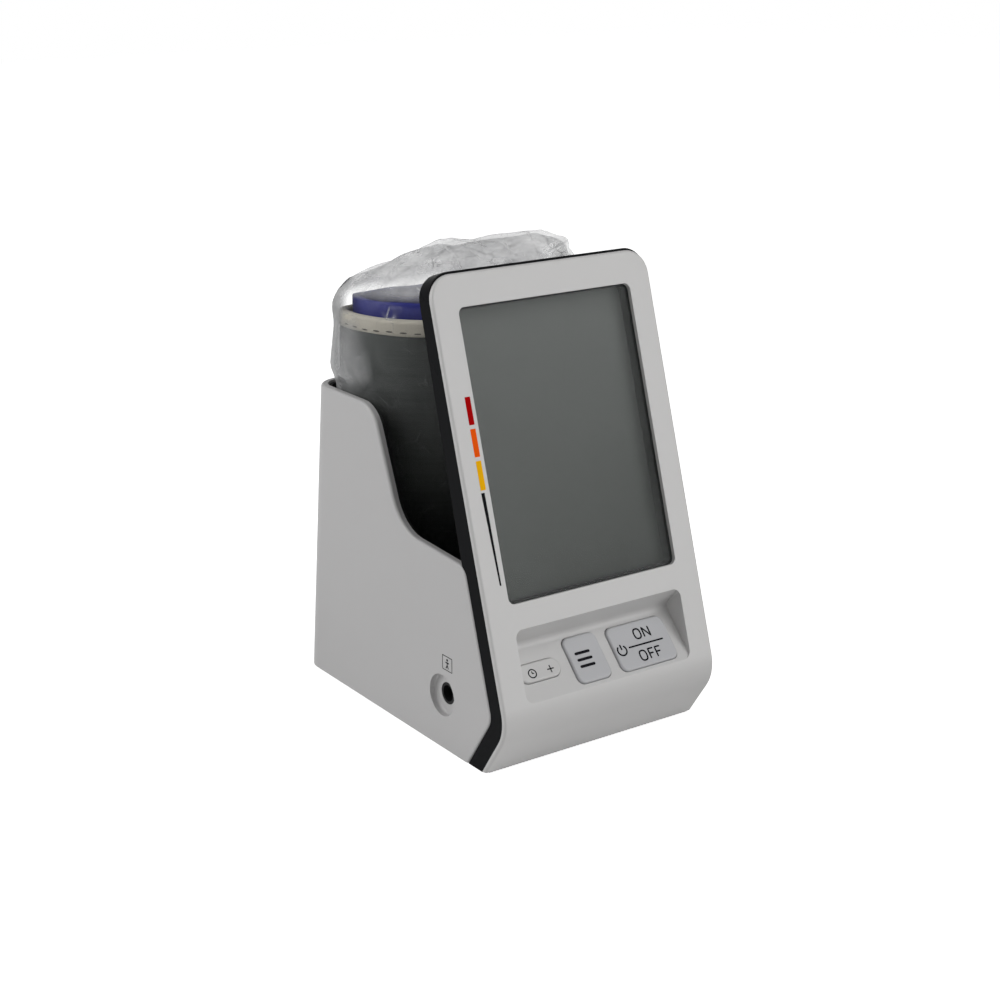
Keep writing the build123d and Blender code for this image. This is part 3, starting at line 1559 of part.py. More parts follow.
# Film bag: a thin skin round the cuff that narrows to an open mouth
bag_outset = binding_proud + film_gap + film_thickness
bag_body = (
    0,
    cuff_half_width + bag_outset,
    cuff_front_reach + bag_outset,
    cuff_centre_y,
    cuff_back_y + bag_outset,
    cuff_back_round,
)
bag_neck_section = (
    bag_neck_x,
    bag_body[1] - bag_neck_inset,
    bag_body[2] - bag_neck_inset,
    cuff_centre_y - bag_neck_shift,
    bag_body[4] - bag_neck_inset,
    cuff_back_round,
)
bag_mouth = (
    bag_mouth_x,
    bag_mouth_half_width,
    bag_mouth_half_depth,
    bag_mouth_y,
    bag_mouth_y + bag_mouth_half_depth,
    bag_mouth_round,
)
bag_levels = ((bag_shoulder, bag_body), (bag_neck, bag_neck_section), (bag_top, bag_mouth))
with BuildPart() as cuff_bag:
    with BuildSketch(Plane.XY.offset(bag_bottom)):
        draw_bag(bag_body, 0)
    extrude(amount=bag_shoulder - bag_bottom)
    for level, section in bag_levels:
        with BuildSketch(Plane.XY.offset(level)):
            draw_bag(section, 0)
    loft(ruled=True)
    with BuildSketch(Plane.XY.offset(bag_bottom + film_thickness)):
        draw_bag(bag_body, film_thickness)
    extrude(amount=bag_shoulder - bag_bottom - film_thickness, mode=Mode.SUBTRACT)
    for level, section in bag_levels:
        with BuildSketch(Plane.XY.offset(level)):
            draw_bag(section, film_thickness)
    loft(ruled=True, mode=Mode.SUBTRACT)
cuff_bag.part.label = "cuff_bag"

pieces = [
    front_bezel, mid_frame, rear_housing, pocket_liner, display_back, display_lens, lcd_frame, lcd_panel,
    lcd_connector, main_board, board_chips, buzzer, start_button, memory_button, set_rocker, keypad_membrane,
    key_domes, key_board, key_board_screws, display_screws, air_jack, jack_seal, air_manifold, pump_head,
    pump_motor, pump_cradle, release_valve, power_board, power_board_screws, pressure_sensor, capacitors,
    air_tubes, ribbon_cable, base_plate, battery_door, battery_cells, battery_contacts, rubber_feet,
    base_screws, cuff_sleeve, cuff_binding, cuff_bladder, cuff_lining, cuff_inner_wrap, cuff_hook_strip,
    cuff_bag,
]
for piece in pieces:
    export_step(piece.part, "parts/" + piece.part.label + ".step")
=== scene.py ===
"""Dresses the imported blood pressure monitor: moulded shells, display, keys with their symbols,
level marks, the rolled arm cuff and its film bag, and a plain stage with the camera.
Lengths are in metres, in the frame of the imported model."""

import bmesh
import bpy
import numpy as np
from bpy.props import FloatProperty, FloatVectorProperty, IntProperty, PointerProperty
from bpy.types import Operator, Panel, PropertyGroup
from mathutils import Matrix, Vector


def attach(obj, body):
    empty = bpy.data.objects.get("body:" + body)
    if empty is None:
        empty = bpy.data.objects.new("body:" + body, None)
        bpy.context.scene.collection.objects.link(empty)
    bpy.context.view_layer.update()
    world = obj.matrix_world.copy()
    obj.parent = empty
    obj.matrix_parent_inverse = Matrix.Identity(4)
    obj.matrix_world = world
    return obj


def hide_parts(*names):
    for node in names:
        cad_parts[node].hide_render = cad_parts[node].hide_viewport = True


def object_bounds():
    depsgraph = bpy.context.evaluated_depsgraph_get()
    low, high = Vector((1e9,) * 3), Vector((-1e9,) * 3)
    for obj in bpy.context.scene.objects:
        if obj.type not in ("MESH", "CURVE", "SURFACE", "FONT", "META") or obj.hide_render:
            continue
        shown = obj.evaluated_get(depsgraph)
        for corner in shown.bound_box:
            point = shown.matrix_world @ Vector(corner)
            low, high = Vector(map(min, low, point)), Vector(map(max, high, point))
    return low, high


bl_info = {
    "name": "Blood Pressure Monitor Dressing",
    "version": (1, 0, 0),
    "blender": (4, 5, 0),
    "location": "3D View > Sidebar > Monitor",
    "description": "Builds the looks of a desk blood pressure monitor around its packed model",
    "category": "Object",
}

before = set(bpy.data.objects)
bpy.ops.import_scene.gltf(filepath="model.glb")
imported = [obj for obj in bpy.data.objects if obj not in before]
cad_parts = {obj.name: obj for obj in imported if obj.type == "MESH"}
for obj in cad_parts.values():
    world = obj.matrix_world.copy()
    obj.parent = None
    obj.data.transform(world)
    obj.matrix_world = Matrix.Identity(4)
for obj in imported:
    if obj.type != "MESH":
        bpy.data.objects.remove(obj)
cad_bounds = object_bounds()

# Places read from the solids


def node_box(name):
    """Lower and upper corner of a node's mesh in the frame."""
    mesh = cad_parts[name].data
    places = np.empty(len(mesh.vertices) * 3, np.float32)
    mesh.vertices.foreach_get("co", places)
    places = places.reshape(-1, 3).astype(float)
    return places.min(axis=0), places.max(axis=0)


def leaning(foot, lean):
    """A plane that leans back from upright: its origin, its way to the right and its way up."""
    return np.array(foot), np.array([1.0, 0.0, 0.0]), np.array([0.0, np.sin(lean), np.cos(lean)])


SLEEVE_BOX = node_box("cuff_sleeve")
BINDING_BOX = node_box("cuff_binding")
CELLS_BOX = node_box("battery_cells")

# Planes that carry print: the front's face, the tops of the keys, and the left side above the jack

FACE_FOOT = (0.0, -0.0858940, 0.0)
FACE_LEAN = np.radians(17.2)
FACE = leaning(FACE_FOOT, FACE_LEAN)
KEY_FOOT = (0.0, -0.0762539, 0.0311421)
KEY_LEAN = np.radians(44.2)
KEY_RISE = 0.0011
KEY_NORMAL = np.array([0.0, -np.cos(KEY_LEAN), np.sin(KEY_LEAN)])
KEYS = leaning(KEY_FOOT + KEY_NORMAL * KEY_RISE, KEY_LEAN)
SIDE_MARK = (cad_bounds[0][0], -0.0382, 0.0378)
LEFT_SIDE = (np.array(SIDE_MARK), np.array([0.0, -1.0, 0.0]), np.array([0.0, 0.0, 1.0]))

# Middles of the symbols in the keys' plane

START_KEY = np.array([0.0209, 0.0113])
MEMORY_KEY = np.array([-0.0065, 0.0117])
ROCKER_CLOCK = np.array([-0.0334, 0.0112])
ROCKER_PLUS = np.array([-0.0248, 0.0112])

# Finishes of the solids that are shown as they are

SHELL_NODES = {
    "front_bezel": "Silver shell",
    "rear_housing": "Grey shell",
    "base_plate": "Grey shell",
    "battery_door": "Grey shell",
    "mid_frame": "Black band",
    "display_back": "Black band",
    "pocket_liner": "Black liner",
    "rubber_feet": "Black rubber",
}
INNER_NODES = {
    "lcd_connector": "Clear silicone",
    "main_board": "Green board",
    "key_board": "Green board",
    "power_board": "Green board",
    "board_chips": "Moulded chip",
    "buzzer": "Yellow brass",
    "keypad_membrane": "Clear silicone",
    "key_domes": "Plated steel",
    "key_board_screws": "Plated steel",
    "display_screws": "Plated steel",
    "power_board_screws": "Plated steel",
    "base_screws": "Plated steel",
    "battery_contacts": "Plated steel",
    "air_jack": "Black liner",
    "jack_seal": "Black rubber",
    "air_manifold": "Black liner",
    "pump_head": "Moulded chip",
    "pump_motor": "Plated steel",
    "pump_cradle": "Black rubber",
    "release_valve": "Plated steel",
    "pressure_sensor": "Moulded chip",
    "capacitors": "Can sleeve",
    "air_tubes": "Clear silicone",
    "ribbon_cable": "Ribbon film",
    "battery_cells": "Cell jacket",
}

# Printed lines: how far they reach into the surface, where their bevel starts, and their points

PRINT_SINK = 0.00004
PRINT_SIDE_SHARE = 0.7
PRINT_TOP_SHARE = 0.9
END_POINTS = 7
PATH_STEP = 0.0004

# Letters of the two words on the start key

LETTER_HALF_HEIGHT = 0.0021
LETTER_HALF_WIDTH = 0.0016
LETTER_N_WIDTH = 0.0030
LETTER_ARM = 0.0025
LETTER_SHORT_ARM = 0.0021
LETTER_ARM_RISE = 0.0001

# Level marks on the face, as the lower and upper end of each, and the pointer under them

LEVELS = (("high", 0.1411, 0.1518), ("raised", 0.1289, 0.1396), ("mild", 0.1162, 0.1274))
POINTER_ENDS = (0.1152, 0.0795)
POINTER_WIDTH = 0.0015
POINTER_TIP = 0.00066
POINTER_SHIFT = 0.0012

# Layers of the rolled cuff, as the insets of their inner and outer face from the sleeve's outer face

SLEEVE_LAYER = (0.0030, 0.0)
BINDING_LAYER = (0.0034, -0.0005)
BLADDER_LAYER = (0.0046, 0.0032)
LINING_LAYER = (0.0066, 0.0050)
WRAP_LAYER = (0.0107, 0.0078)
HOOK_LAYER = (0.01135, 0.0108)
BINDING_OVERLAP = 0.002
LINING_RISE = 0.0056
LINING_INSET = 0.0010
WRAP_LOW_INSET = 0.0005
WRAP_HIGH_INSET = 0.0030
BLADDER_INSET = 0.014
BLADDER_PART = (0.72 * np.pi, 2.28 * np.pi)
HOOK_HEIGHTS = (0.0626, 0.1224)
HOOK_PART = (1.13 * np.pi, 1.87 * np.pi)

# Outline and waves of the roll

REAR_POWER = 6.0
BACK_REACH = 0.0154
FINE_STEPS = 6001
LEVEL = np.array([1.0, 1.0, 0.0])
EDGE_WAVES = (0.04, 0.021, 0.013)
WAVE_FALL = 0.7
WAVE_GAIN = 1.8

# Stitches: the share of the pitch that a stitch covers, and its place on the binding

STITCH_SHARE = 0.56
STITCH_RADIUS = 0.00031
STITCH_OUT = 0.0006
STITCH_FROM_EDGE = 0.0021
STITCH_SWAY = 0.0002
STITCH_AHEAD = 0.0004
STITCH_STEPS = 2400

# Film bag: rows of its floor, wall and neck, where its wall stands loose, and the upper edge of its
# mouth, from left to right, as listed points

FLOOR_ROWS = 14
WALL_ROWS = 56
NECK_ROWS = 52
FLOOR_DROP = 0.0006
FLOOR_TURN = 0.001
FLARE_START = 0.1310
FLARE_RISE = 0.008
FLARE_FALL = 0.022
LIP_DROP = 0.0025
FOLD_START = 0.004
FOLD_RISE = 0.012
FOLD_LIFT = 0.35
FOLD_LIFT_RISE = 0.03
FOLD_SIZES = (0.034, 0.026, 0.019, 0.015, 0.012, 0.010, 0.0085)
RIPPLE_SIZES = (0.034, 0.026, 0.02, 0.012)
RIPPLE_STRETCH = np.array([1.0, 1.0, 0.18])
MOUTH_CREST = np.array([
    (-0.0435, 0.0500, 0.1722), (-0.0385, 0.0500, 0.1766), (-0.0200, 0.0450, 0.1830),
    (-0.0030, 0.0410, 0.1895), (0.0140, 0.0390, 0.1885), (0.0270, 0.0330, 0.1892),
    (0.0370, 0.0250, 0.1910), (0.0415, 0.0150, 0.1890), (0.0425, 0.0060, 0.1830),
])

# Film finish: heights, or reaches to the side and to the rear, between which each share changes

MOUTH_LOW = 0.0080
MOUTH_HIGH = 0.0115
LOOSE_HEIGHTS = (0.100, 0.136)
BINDING_HEIGHTS = (0.158, 0.164)
# Heights where the painted shade on the film beside the roll fades out
PAINTED_SHADE_HEIGHTS = (0.162, 0.168)
SIDE_REACH = (0.0450, 0.0478)
CORNER_REACH = (0.036, 0.042)
FOLD_AND_SHADE_REACH = (0.0450, 0.0500)

# Display and cells: where the painted shade darkens the display, and where a cell's label ends

PANEL_HEIGHTS = (0.07, 0.17)
PANEL_ACROSS = (-0.04, 0.04)
LABEL_END = CELLS_BOX[1][0] - 0.0020
LABEL_EDGE = 0.0004

# Stage: each lamp's place and size, and the camera

LAMPS = (
    ("key", (0.80, -1.38, 0.36), 1.1),
    ("top", (0.30, -0.75, 1.25), 1.0),
    ("fill", (-1.25, 0.55, 0.90), 1.1),
)
LAMP_AIM = Vector((0.0, 0.0, 0.09))
CAMERA_TARGET = Vector((-0.00003, -0.00022, 0.08536))
CAMERA_SIDE = Vector((-0.5474, -0.7778, 0.3090)).normalized()
FLOOR_REACH = 3.0
FLOOR_GAP = 0.0002

# Sockets of the Mix node for colours

MIX_SHARE = 0
MIX_FIRST = 6
MIX_SECOND = 7
MIX_RESULT = 2


# Settings


def length(name, text, default):
    """A setting in metres."""
    return FloatProperty(name=name, description=text, default=default, unit="LENGTH", precision=5)


def power(name, text, default):
    """A setting for a lamp's power or a brightness."""
    return FloatProperty(name=name, description=text, default=default, min=0.0)


def colour(name, text, default):
    """A setting for a linear colour."""
    return FloatVectorProperty(
        name=name, description=text, default=default, size=3, min=0.0, max=1.0, subtype="COLOR"
    )


class ShellSettings(PropertyGroup):
    silver: colour("Silver", "Colour of the display surround", (0.60, 0.595, 0.59))
    grey: colour("Grey", "Colour of the rear shell and base", (0.55, 0.545, 0.545))
    band: colour("Band", "Colour of the middle band", (0.0052, 0.0055, 0.0065))
    liner: colour("Liner", "Colour of the pocket's lining", (0.012, 0.012, 0.013))
    rubber: colour("Rubber", "Colour of the feet", (0.02, 0.02, 0.02))
    grain: length("Grain", "Size of the moulded grain", 0.00028)


class DisplaySettings(PropertyGroup):
    panel: colour("Panel", "Colour of the idle display", (0.172, 0.182, 0.175))
    # Painted shade: the colour that the display takes on towards its lower right corner
    painted_panel_shade: colour("Panel shade", "Colour of its lower right corner", (0.062, 0.066, 0.062))
    wall: colour("Wall", "Colour of the frame around the display", (0.014, 0.014, 0.015))


class KeySettings(PropertyGroup):
    body: colour("Keys", "Colour of the keys", (0.53, 0.533, 0.55))
    ink: colour("Ink", "Colour of the symbols", (0.016, 0.016, 0.019))
    stroke: length("Stroke", "Width of the symbols' lines", 0.00068)
    print_height: length("Print height", "Height of a printed symbol", 0.00006)


class MarkSettings(PropertyGroup):
    across: length("Across", "Middle of the level marks across the face", -0.0438)
    width: length("Width", "Width of a level mark", 0.0024)
    high: colour("High", "Colour of the highest level", (0.44, 0.003, 0.004))
    raised: colour("Raised", "Colour of the raised level", (0.95, 0.11, 0.006))
    mild: colour("Mild", "Colour of the mild level", (0.98, 0.50, 0.006))
    plain: colour("Plain", "Colour of the long pointer", (0.012, 0.012, 0.014))


class CuffSettings(PropertyGroup):
    half_width: length("Half width", "Half of the roll's width", SLEEVE_BOX[1][0])
    front_reach: length("Front reach", "Reach of the roll in front of its middle", 0.0393)
    back_reach: length("Back reach", "Reach of the roll behind its middle", BACK_REACH)
    middle: length("Middle", "Place of the roll's middle", SLEEVE_BOX[1][1] - BACK_REACH)
    low: length("Low", "Height of the roll's lower edge", BINDING_BOX[0][2])
    high: length("High", "Height of the roll's upper edge", BINDING_BOX[1][2])
    binding: length("Binding", "Height of the edge binding", 0.0072)
    stitch_pitch: length("Stitch pitch", "Distance from stitch to stitch", 0.0058)
    around: IntProperty(name="Around", description="Points around the roll", default=300, min=24)
    cloth: colour("Cloth", "Colour of the woven sleeve", (0.074, 0.081, 0.078))
    tape: colour("Tape", "Colour of the edge binding", (0.56, 0.53, 0.455))
    lining: colour("Lining", "Colour of the lining", (0.004, 0.008, 0.19))
    thread: colour("Thread", "Colour of the stitches", (0.11, 0.105, 0.09))


class FilmSettings(PropertyGroup):
    thickness: length("Thickness", "Thickness of the film", 0.00012)
    outset: length("Outset", "Distance of the film from the roll", 0.0012)
    crumple: length("Crumple", "Depth of the folds above the roll", 0.0026)
    ripple: length("Ripple", "Depth of the faint folds beside the roll", 0.0004)
    mouth: length("Mouth", "Half of the mouth's opening", 0.0022)
    flare: length("Flare", "Reach of the loose film beside the roll, above the shell's wall", 0.0040)
    shoulder: length("Shoulder", "Height where the film leaves the roll", 0.1600)
    tint: colour("Tint", "Colour of the film", (0.80, 0.805, 0.81))


class StageSettings(PropertyGroup):
    floor: colour("Floor", "Colour of the floor", (0.80, 0.80, 0.80))
    ambient: power("Ambient", "Strength of the light from all around", 0.36)
    glow: power("Glow", "Brightness added to the floor as the camera sees it", 0.9)
    key_power: power("Key power", "Power of the main lamp", 7.6)
    top_power: power("Top power", "Power of the lamp above", 6.4)
    fill_power: power("Fill power", "Power of the fill lamp", 12.4)
    lens: FloatProperty(name="Lens", description="Focal length in millimetres", default=68.34)
    distance: length("Distance", "Distance of the camera from its target", 0.78554)


SETTINGS = {
    "monitor_shell": ShellSettings,
    "monitor_display": DisplaySettings,
    "monitor_keys": KeySettings,
    "monitor_marks": MarkSettings,
    "monitor_cuff": CuffSettings,
    "monitor_film": FilmSettings,
    "monitor_stage": StageSettings,
}


def settings(name):
    """The values of one group of settings."""
    return getattr(bpy.context.scene, "monitor_" + name)


# Shapes from arrays


def grid_faces(rows, columns, wrap_rows, wrap_columns):
    """Four-cornered faces between neighbouring lines of a grid, with their corners' row and column
    numbers counted on past the last line where a direction closes on itself."""
    row = np.arange(rows if wrap_rows else rows - 1)
    column = np.arange(columns if wrap_columns else columns - 1)
    row, column = np.meshgrid(row, column, indexing="ij")
    rows_of = np.stack([row, row, row + 1, row + 1], -1).reshape(-1, 4)
    columns_of = np.stack([column, column + 1, column + 1, column], -1).reshape(-1, 4)
    return rows_of, columns_of


def walked(points, wrap=False):
    """Distance walked from the start of a line to each of its points. On a grid it runs along the first
    axis and is averaged over the other one. A closed line has one more entry, the way back to its
    start."""
    line = np.concatenate([points, points[:1]]) if wrap else points
    steps = np.linalg.norm(np.diff(line, axis=0), axis=-1)
    if steps.ndim > 1:
        steps = steps.mean(axis=-1)
    return np.concatenate([[0.0], np.cumsum(steps)])


def unit(vectors):
    """The vectors along the last axis, each divided by its length."""
    return vectors / np.linalg.norm(vectors, axis=-1)[..., None]


def capped(points):
    """The grid with one more point at both ends of each line, all of them at the middle of that end."""
    ends = points.mean(axis=0)[[0, -1]]
    caps = np.broadcast_to(ends, (len(points), 2, 3))
    return np.concatenate([caps[:, :1], points, caps[:, 1:]], axis=1)


def grid_mesh(name, points, wrap_rows=False, wrap_columns=False):
    """A mesh over a grid of points, rows by columns by 3. Its UV map holds the distance walked along
    the columns and along the rows, in metres. Points at one place become one, and faces look away
    from the inside: the sign of the volume under the faces decides which way round they go."""
    points = np.asarray(points, float)
    rows, columns = points.shape[:2]
    rows_of, columns_of = grid_faces(rows, columns, wrap_rows, wrap_columns)
    corners = (rows_of % rows) * columns + columns_of % columns
    flat = points.reshape(-1, 3)
    middle = flat.mean(axis=0)
    a, b, c, d = (flat[corners[:, i]] - middle for i in range(4))
    volume = np.einsum("ij,ij->i", a, np.cross(b, c) + np.cross(c, d)).sum()
    if volume < 0:
        corners = corners[:, ::-1]
        rows_of = rows_of[:, ::-1]
        columns_of = columns_of[:, ::-1]
    across = walked(points.transpose(1, 0, 2), wrap_columns)
    along = walked(points, wrap_rows)
    uv = np.stack([across[columns_of.ravel()], along[rows_of.ravel()]], -1)
    mesh = bpy.data.meshes.new(name)
    mesh.from_pydata(flat.tolist(), [], corners.tolist())
    layer = mesh.uv_layers.new(name="walked")
    layer.data.foreach_set("uv", uv.astype(np.float32).ravel())
    work = bmesh.new()
    work.from_mesh(mesh)
    bmesh.ops.remove_doubles(work, verts=work.verts, dist=1e-7)
    work.to_mesh(mesh)
    work.free()
    mesh.polygons.foreach_set("use_smooth", np.ones(len(mesh.polygons), bool))
    mesh.update()
    return mesh


def show(name, data):
    """A new object in the scene that holds a mesh, a lamp or a camera."""
    made = bpy.data.objects.new(name, data)
    bpy.context.scene.collection.objects.link(made)
    return made


def add_piece(name, mesh, material, body, replaces=()):
    """An object of the mesh that rides on a body of the frame, with its material and slot."""
    old = bpy.data.objects.get(name)
    if old is not None:
        bpy.data.objects.remove(old)
    piece = show(name, mesh)
    mesh.materials.append(material)
    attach(piece, body)
    if replaces:
        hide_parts(*replaces)
    return piece


def join_meshes(name, meshes):
    """One mesh of several."""
    work = bmesh.new()
    for mesh in meshes:
        work.from_mesh(mesh)
        bpy.data.meshes.remove(mesh)
    joined = bpy.data.meshes.new(name)
    work.to_mesh(joined)
    work.free()
    return joined


def triangle_wave(phase):
    """A wave of straight slopes between -1 and 1, for creases with sharp ridges."""
    return 2 / np.pi * np.arcsin(np.sin(phase))


def crumple(points, seed, sizes, sharp=True):
    """Sum of waves across space in directions drawn from a seed, one wave per size, each weaker the
    shorter it is. The result is about -1 to 1 at each point."""
    draw = np.random.default_rng(seed)
    total = np.zeros(points.shape[:-1])
    weight = 0.0
    for size in sizes:
        way = draw.normal(size=3)
        way /= np.linalg.norm(way)
        phase = points @ way * 2 * np.pi / size + draw.uniform(0, 2 * np.pi)
        strength = size**WAVE_FALL
        total += strength * (triangle_wave(phase) if sharp else np.sin(phase))
        weight += strength
    return total / weight * WAVE_GAIN


# Symbols and printed marks


def rounded_ends(path, half, end_round):
    """An open path with more points near its ends, and half the width of a line at each point. Close to
    an end the width follows a circle's arc."""
    walk = walked(path)
    near = end_round * (1 - np.cos(np.linspace(0, np.pi / 2, END_POINTS)))
    stops = np.concatenate([near, walk[1:-1], walk[-1] - near[::-1]])
    path = np.stack([np.interp(stops, walk, path[:, i]) for i in range(2)], -1)
    from_end = np.minimum(stops, walk[-1] - stops).clip(0)
    arc = np.sqrt(1 - (1 - (from_end / end_round).clip(0, 1)) ** 2)
    halves = half - end_round + end_round * arc
    halves[[0, -1]] = half - end_round
    return path, halves


def carried(path, across, half, section, plane):
    """The corners of a section carried along a path in a plane. A corner stands off across the path by
    its share of half the width, and above the plane by its rise."""
    origin, right, up = plane
    normal = np.cross(right, up)
    lines = []
    for side, rise in section:
        flat = path + across * (half * side)[:, None]
        lines.append(origin + flat[:, :1] * right + flat[:, 1:] * up + normal * rise)
    return np.stack(lines)


def stroke_mesh(name, path, width, plane, height, end_round=None, closed=False):
    """A printed line: a flat profile with bevelled edges carried along a path in a plane. An open end is
    round or, with a small end_round, nearly square."""
    path = np.asarray(path, float)
    if closed:
        half = np.full(len(path), width / 2)
        way = unit(np.roll(path, -1, axis=0) - np.roll(path, 1, axis=0))
    else:
        path, half = rounded_ends(path, width / 2, end_round or width / 2)
        way = unit(np.gradient(path, axis=0))
    across = np.stack([-way[:, 1], way[:, 0]], -1)
    side = height * PRINT_SIDE_SHARE
    top = PRINT_TOP_SHARE
    section = [(-1, -PRINT_SINK), (1, -PRINT_SINK), (1, side), (top, height), (-top, height), (-1, side)]
    points = carried(path, across, half, section, plane)
    return grid_mesh(name, points if closed else capped(points), wrap_rows=True, wrap_columns=closed)


def arc_path(middle, radius, start, end, count=40):
    """Points on a circle's arc between two angles in degrees."""
    angle = np.radians(np.linspace(start, end, count))
    return np.stack([middle[0] + radius * np.cos(angle), middle[1] + radius * np.sin(angle)], -1)


def oval_path(middle, half_width, half_height, power=2.6, count=48):
    """A closed oval, squarer than an ellipse as the power grows: each coordinate is the cosine or
    sine with its size raised to two over the power."""
    angle = np.linspace(0, 2 * np.pi, count, endpoint=False)
    x = np.sign(np.cos(angle)) * np.abs(np.cos(angle)) ** (2 / power)
    y = np.sign(np.sin(angle)) * np.abs(np.sin(angle)) ** (2 / power)
    return np.stack([middle[0] + half_width * x, middle[1] + half_height * y], -1)


def line_path(*corners):
    """Straight lines through the corners, with points a small step apart."""
    corners = np.asarray(corners, float)
    runs = []
    for first, last in zip(corners[:-1], corners[1:]):
        count = max(2, int(np.linalg.norm(last - first) / PATH_STEP))
        runs.append(first + (last - first) * np.linspace(0, 1, count, endpoint=False)[:, None])
    runs.append(corners[-1:])
    return np.concatenate(runs)


def open_line(*corners):
    """Part of a symbol: straight lines through the corners, not closed."""
    return line_path(*corners), False


def letter_o(x, y):
    """The letter O around a point, as a squared oval."""
    return oval_path((x, y), LETTER_HALF_WIDTH, LETTER_HALF_HEIGHT), True


def letter_n(x, y):
    """The letter N as one line that starts at its left foot."""
    low = y - LETTER_HALF_HEIGHT
    high = y + LETTER_HALF_HEIGHT
    right = x + LETTER_N_WIDTH
    return open_line((x, low), (x, high), (right, low), (right, high))


def letter_f(x, y):
    """The letter F as its post with the upper arm, and its middle arm."""
    high = y + LETTER_HALF_HEIGHT
    arm = y + LETTER_ARM_RISE
    return [
        open_line((x, y - LETTER_HALF_HEIGHT), (x, high), (x + LETTER_ARM, high)),
        open_line((x, arm), (x + LETTER_SHORT_ARM, arm)),
    ]


def symbol_piece(name, parts, plane, material, body, width, height):
    """Joins strokes into one printed symbol. A part is a path and whether it is closed."""
    meshes = [
        stroke_mesh(name, path, width, plane, height, closed=closed) for path, closed in parts
    ]
    return add_piece(name, join_meshes(name, meshes), material, body)


def shifted(middle, parts):
    """The parts moved so that their origin lies at the middle."""
    return [(np.asarray(path) + np.asarray(middle), closed) for path, closed in parts]


# Material tools


def fill(tree, made, sockets):
    """Gives each named socket of a node a plain value or another node's output."""
    for key, value in sockets.items():
        if isinstance(value, bpy.types.NodeSocket):
            tree.links.new(value, made.inputs[key])
        else:
            made.inputs[key].default_value = value


def add(tree, kind, sockets=None, **values):
    """A node of one kind with its settings and sockets."""
    made = tree.nodes.new(kind)
    for key, value in values.items():
        setattr(made, key, value)
    fill(tree, made, sockets or {})
    return made


def math(tree, operation, *values):
    """Output of a Math node."""
    return add(tree, "ShaderNodeMath", dict(enumerate(values)), operation=operation).outputs[0]


def spread(tree, value, low, high, to_low, to_high):
    """The value's range from low to high stretched onto another range, and held at its ends."""
    ends = {"From Min": low, "From Max": high, "To Min": to_low, "To Max": to_high}
    return add(tree, "ShaderNodeMapRange", {"Value": value, **ends}).outputs[0]


def object_place(tree):
    """Place on the piece, in metres."""
    return tree.nodes.new("ShaderNodeTexCoord").outputs["Object"]


def apart(tree, vector):
    """The three numbers of a vector."""
    return add(tree, "ShaderNodeSeparateXYZ", {"Vector": vector}).outputs


def noise(tree, place, scale, detail, roughness=0.5, output=0):
    """Output of a Noise node, by itself its value from 0 to 1."""
    sockets = {"Vector": place, "Scale": scale, "Detail": detail, "Roughness": roughness}
    return add(tree, "ShaderNodeTexNoise", sockets).outputs[output]


def blend_colours(tree, share, first, second):
    """A colour that goes from the first to the second as the share goes from 0 to 1."""
    made = add(tree, "ShaderNodeMix", {MIX_SHARE: share}, data_type="RGBA")
    for index, end in ((MIX_FIRST, first), (MIX_SECOND, second)):
        fill(tree, made, {index: end if isinstance(end, bpy.types.NodeSocket) else (*end, 1.0)})
    return made.outputs[MIX_RESULT]


def start_group(name, inputs, outputs):
    """An empty node group with its sockets, or None where it is there already."""
    if name in bpy.data.node_groups:
        return None
    tree = bpy.data.node_groups.new(name, "ShaderNodeTree")
    for label, kind, default in inputs:
        socket = tree.interface.new_socket(label, in_out="INPUT", socket_type=kind)
        socket.default_value = default
    for label, kind in outputs:
        tree.interface.new_socket(label, in_out="OUTPUT", socket_type=kind)
    return tree


NUMBER = "NodeSocketFloat"
COLOUR = "NodeSocketColor"
VECTOR = "NodeSocketVector"
WHITE = (1.0, 1.0, 1.0, 1.0)


def grain_group():
    """Moulded surface: fine grain as a bump, and a slow mottle of the colour and the roughness as
    handling leaves it."""
    name = "Moulded grain"
    tree = start_group(
        name,
        [("Colour", COLOUR, WHITE), ("Roughness", NUMBER, 0.4), ("Grain size", NUMBER, 0.0003),
         ("Depth", NUMBER, 0.00001), ("Mottle", NUMBER, 0.03)],
        [("Colour", COLOUR), ("Roughness", NUMBER), ("Normal", VECTOR)],
    )
    if tree is None:
        return bpy.data.node_groups[name]
    given = tree.nodes.new("NodeGroupInput").outputs
    place = object_place(tree)
    fine = noise(tree, place, math(tree, "DIVIDE", 1.0, given["Grain size"]), 2.0, 0.6)
    slow = noise(tree, place, 28.0, 4.0, 0.55)
    swing = math(tree, "MULTIPLY", math(tree, "SUBTRACT", slow, 0.5), given["Mottle"])
    value = math(tree, "ADD", 1.0, math(tree, "MULTIPLY", swing, 2.0))
    tone = add(tree, "ShaderNodeHueSaturation", {"Color": given["Colour"], "Value": value}).outputs[0]
    rough = math(tree, "ADD", given["Roughness"], math(tree, "MULTIPLY", swing, 3.0))
    bump = add(tree, "ShaderNodeBump", {"Height": fine, "Distance": given["Depth"], "Strength": 0.6})
    add(tree, "NodeGroupOutput", {"Colour": tone, "Roughness": rough, "Normal": bump.outputs[0]})
    return tree


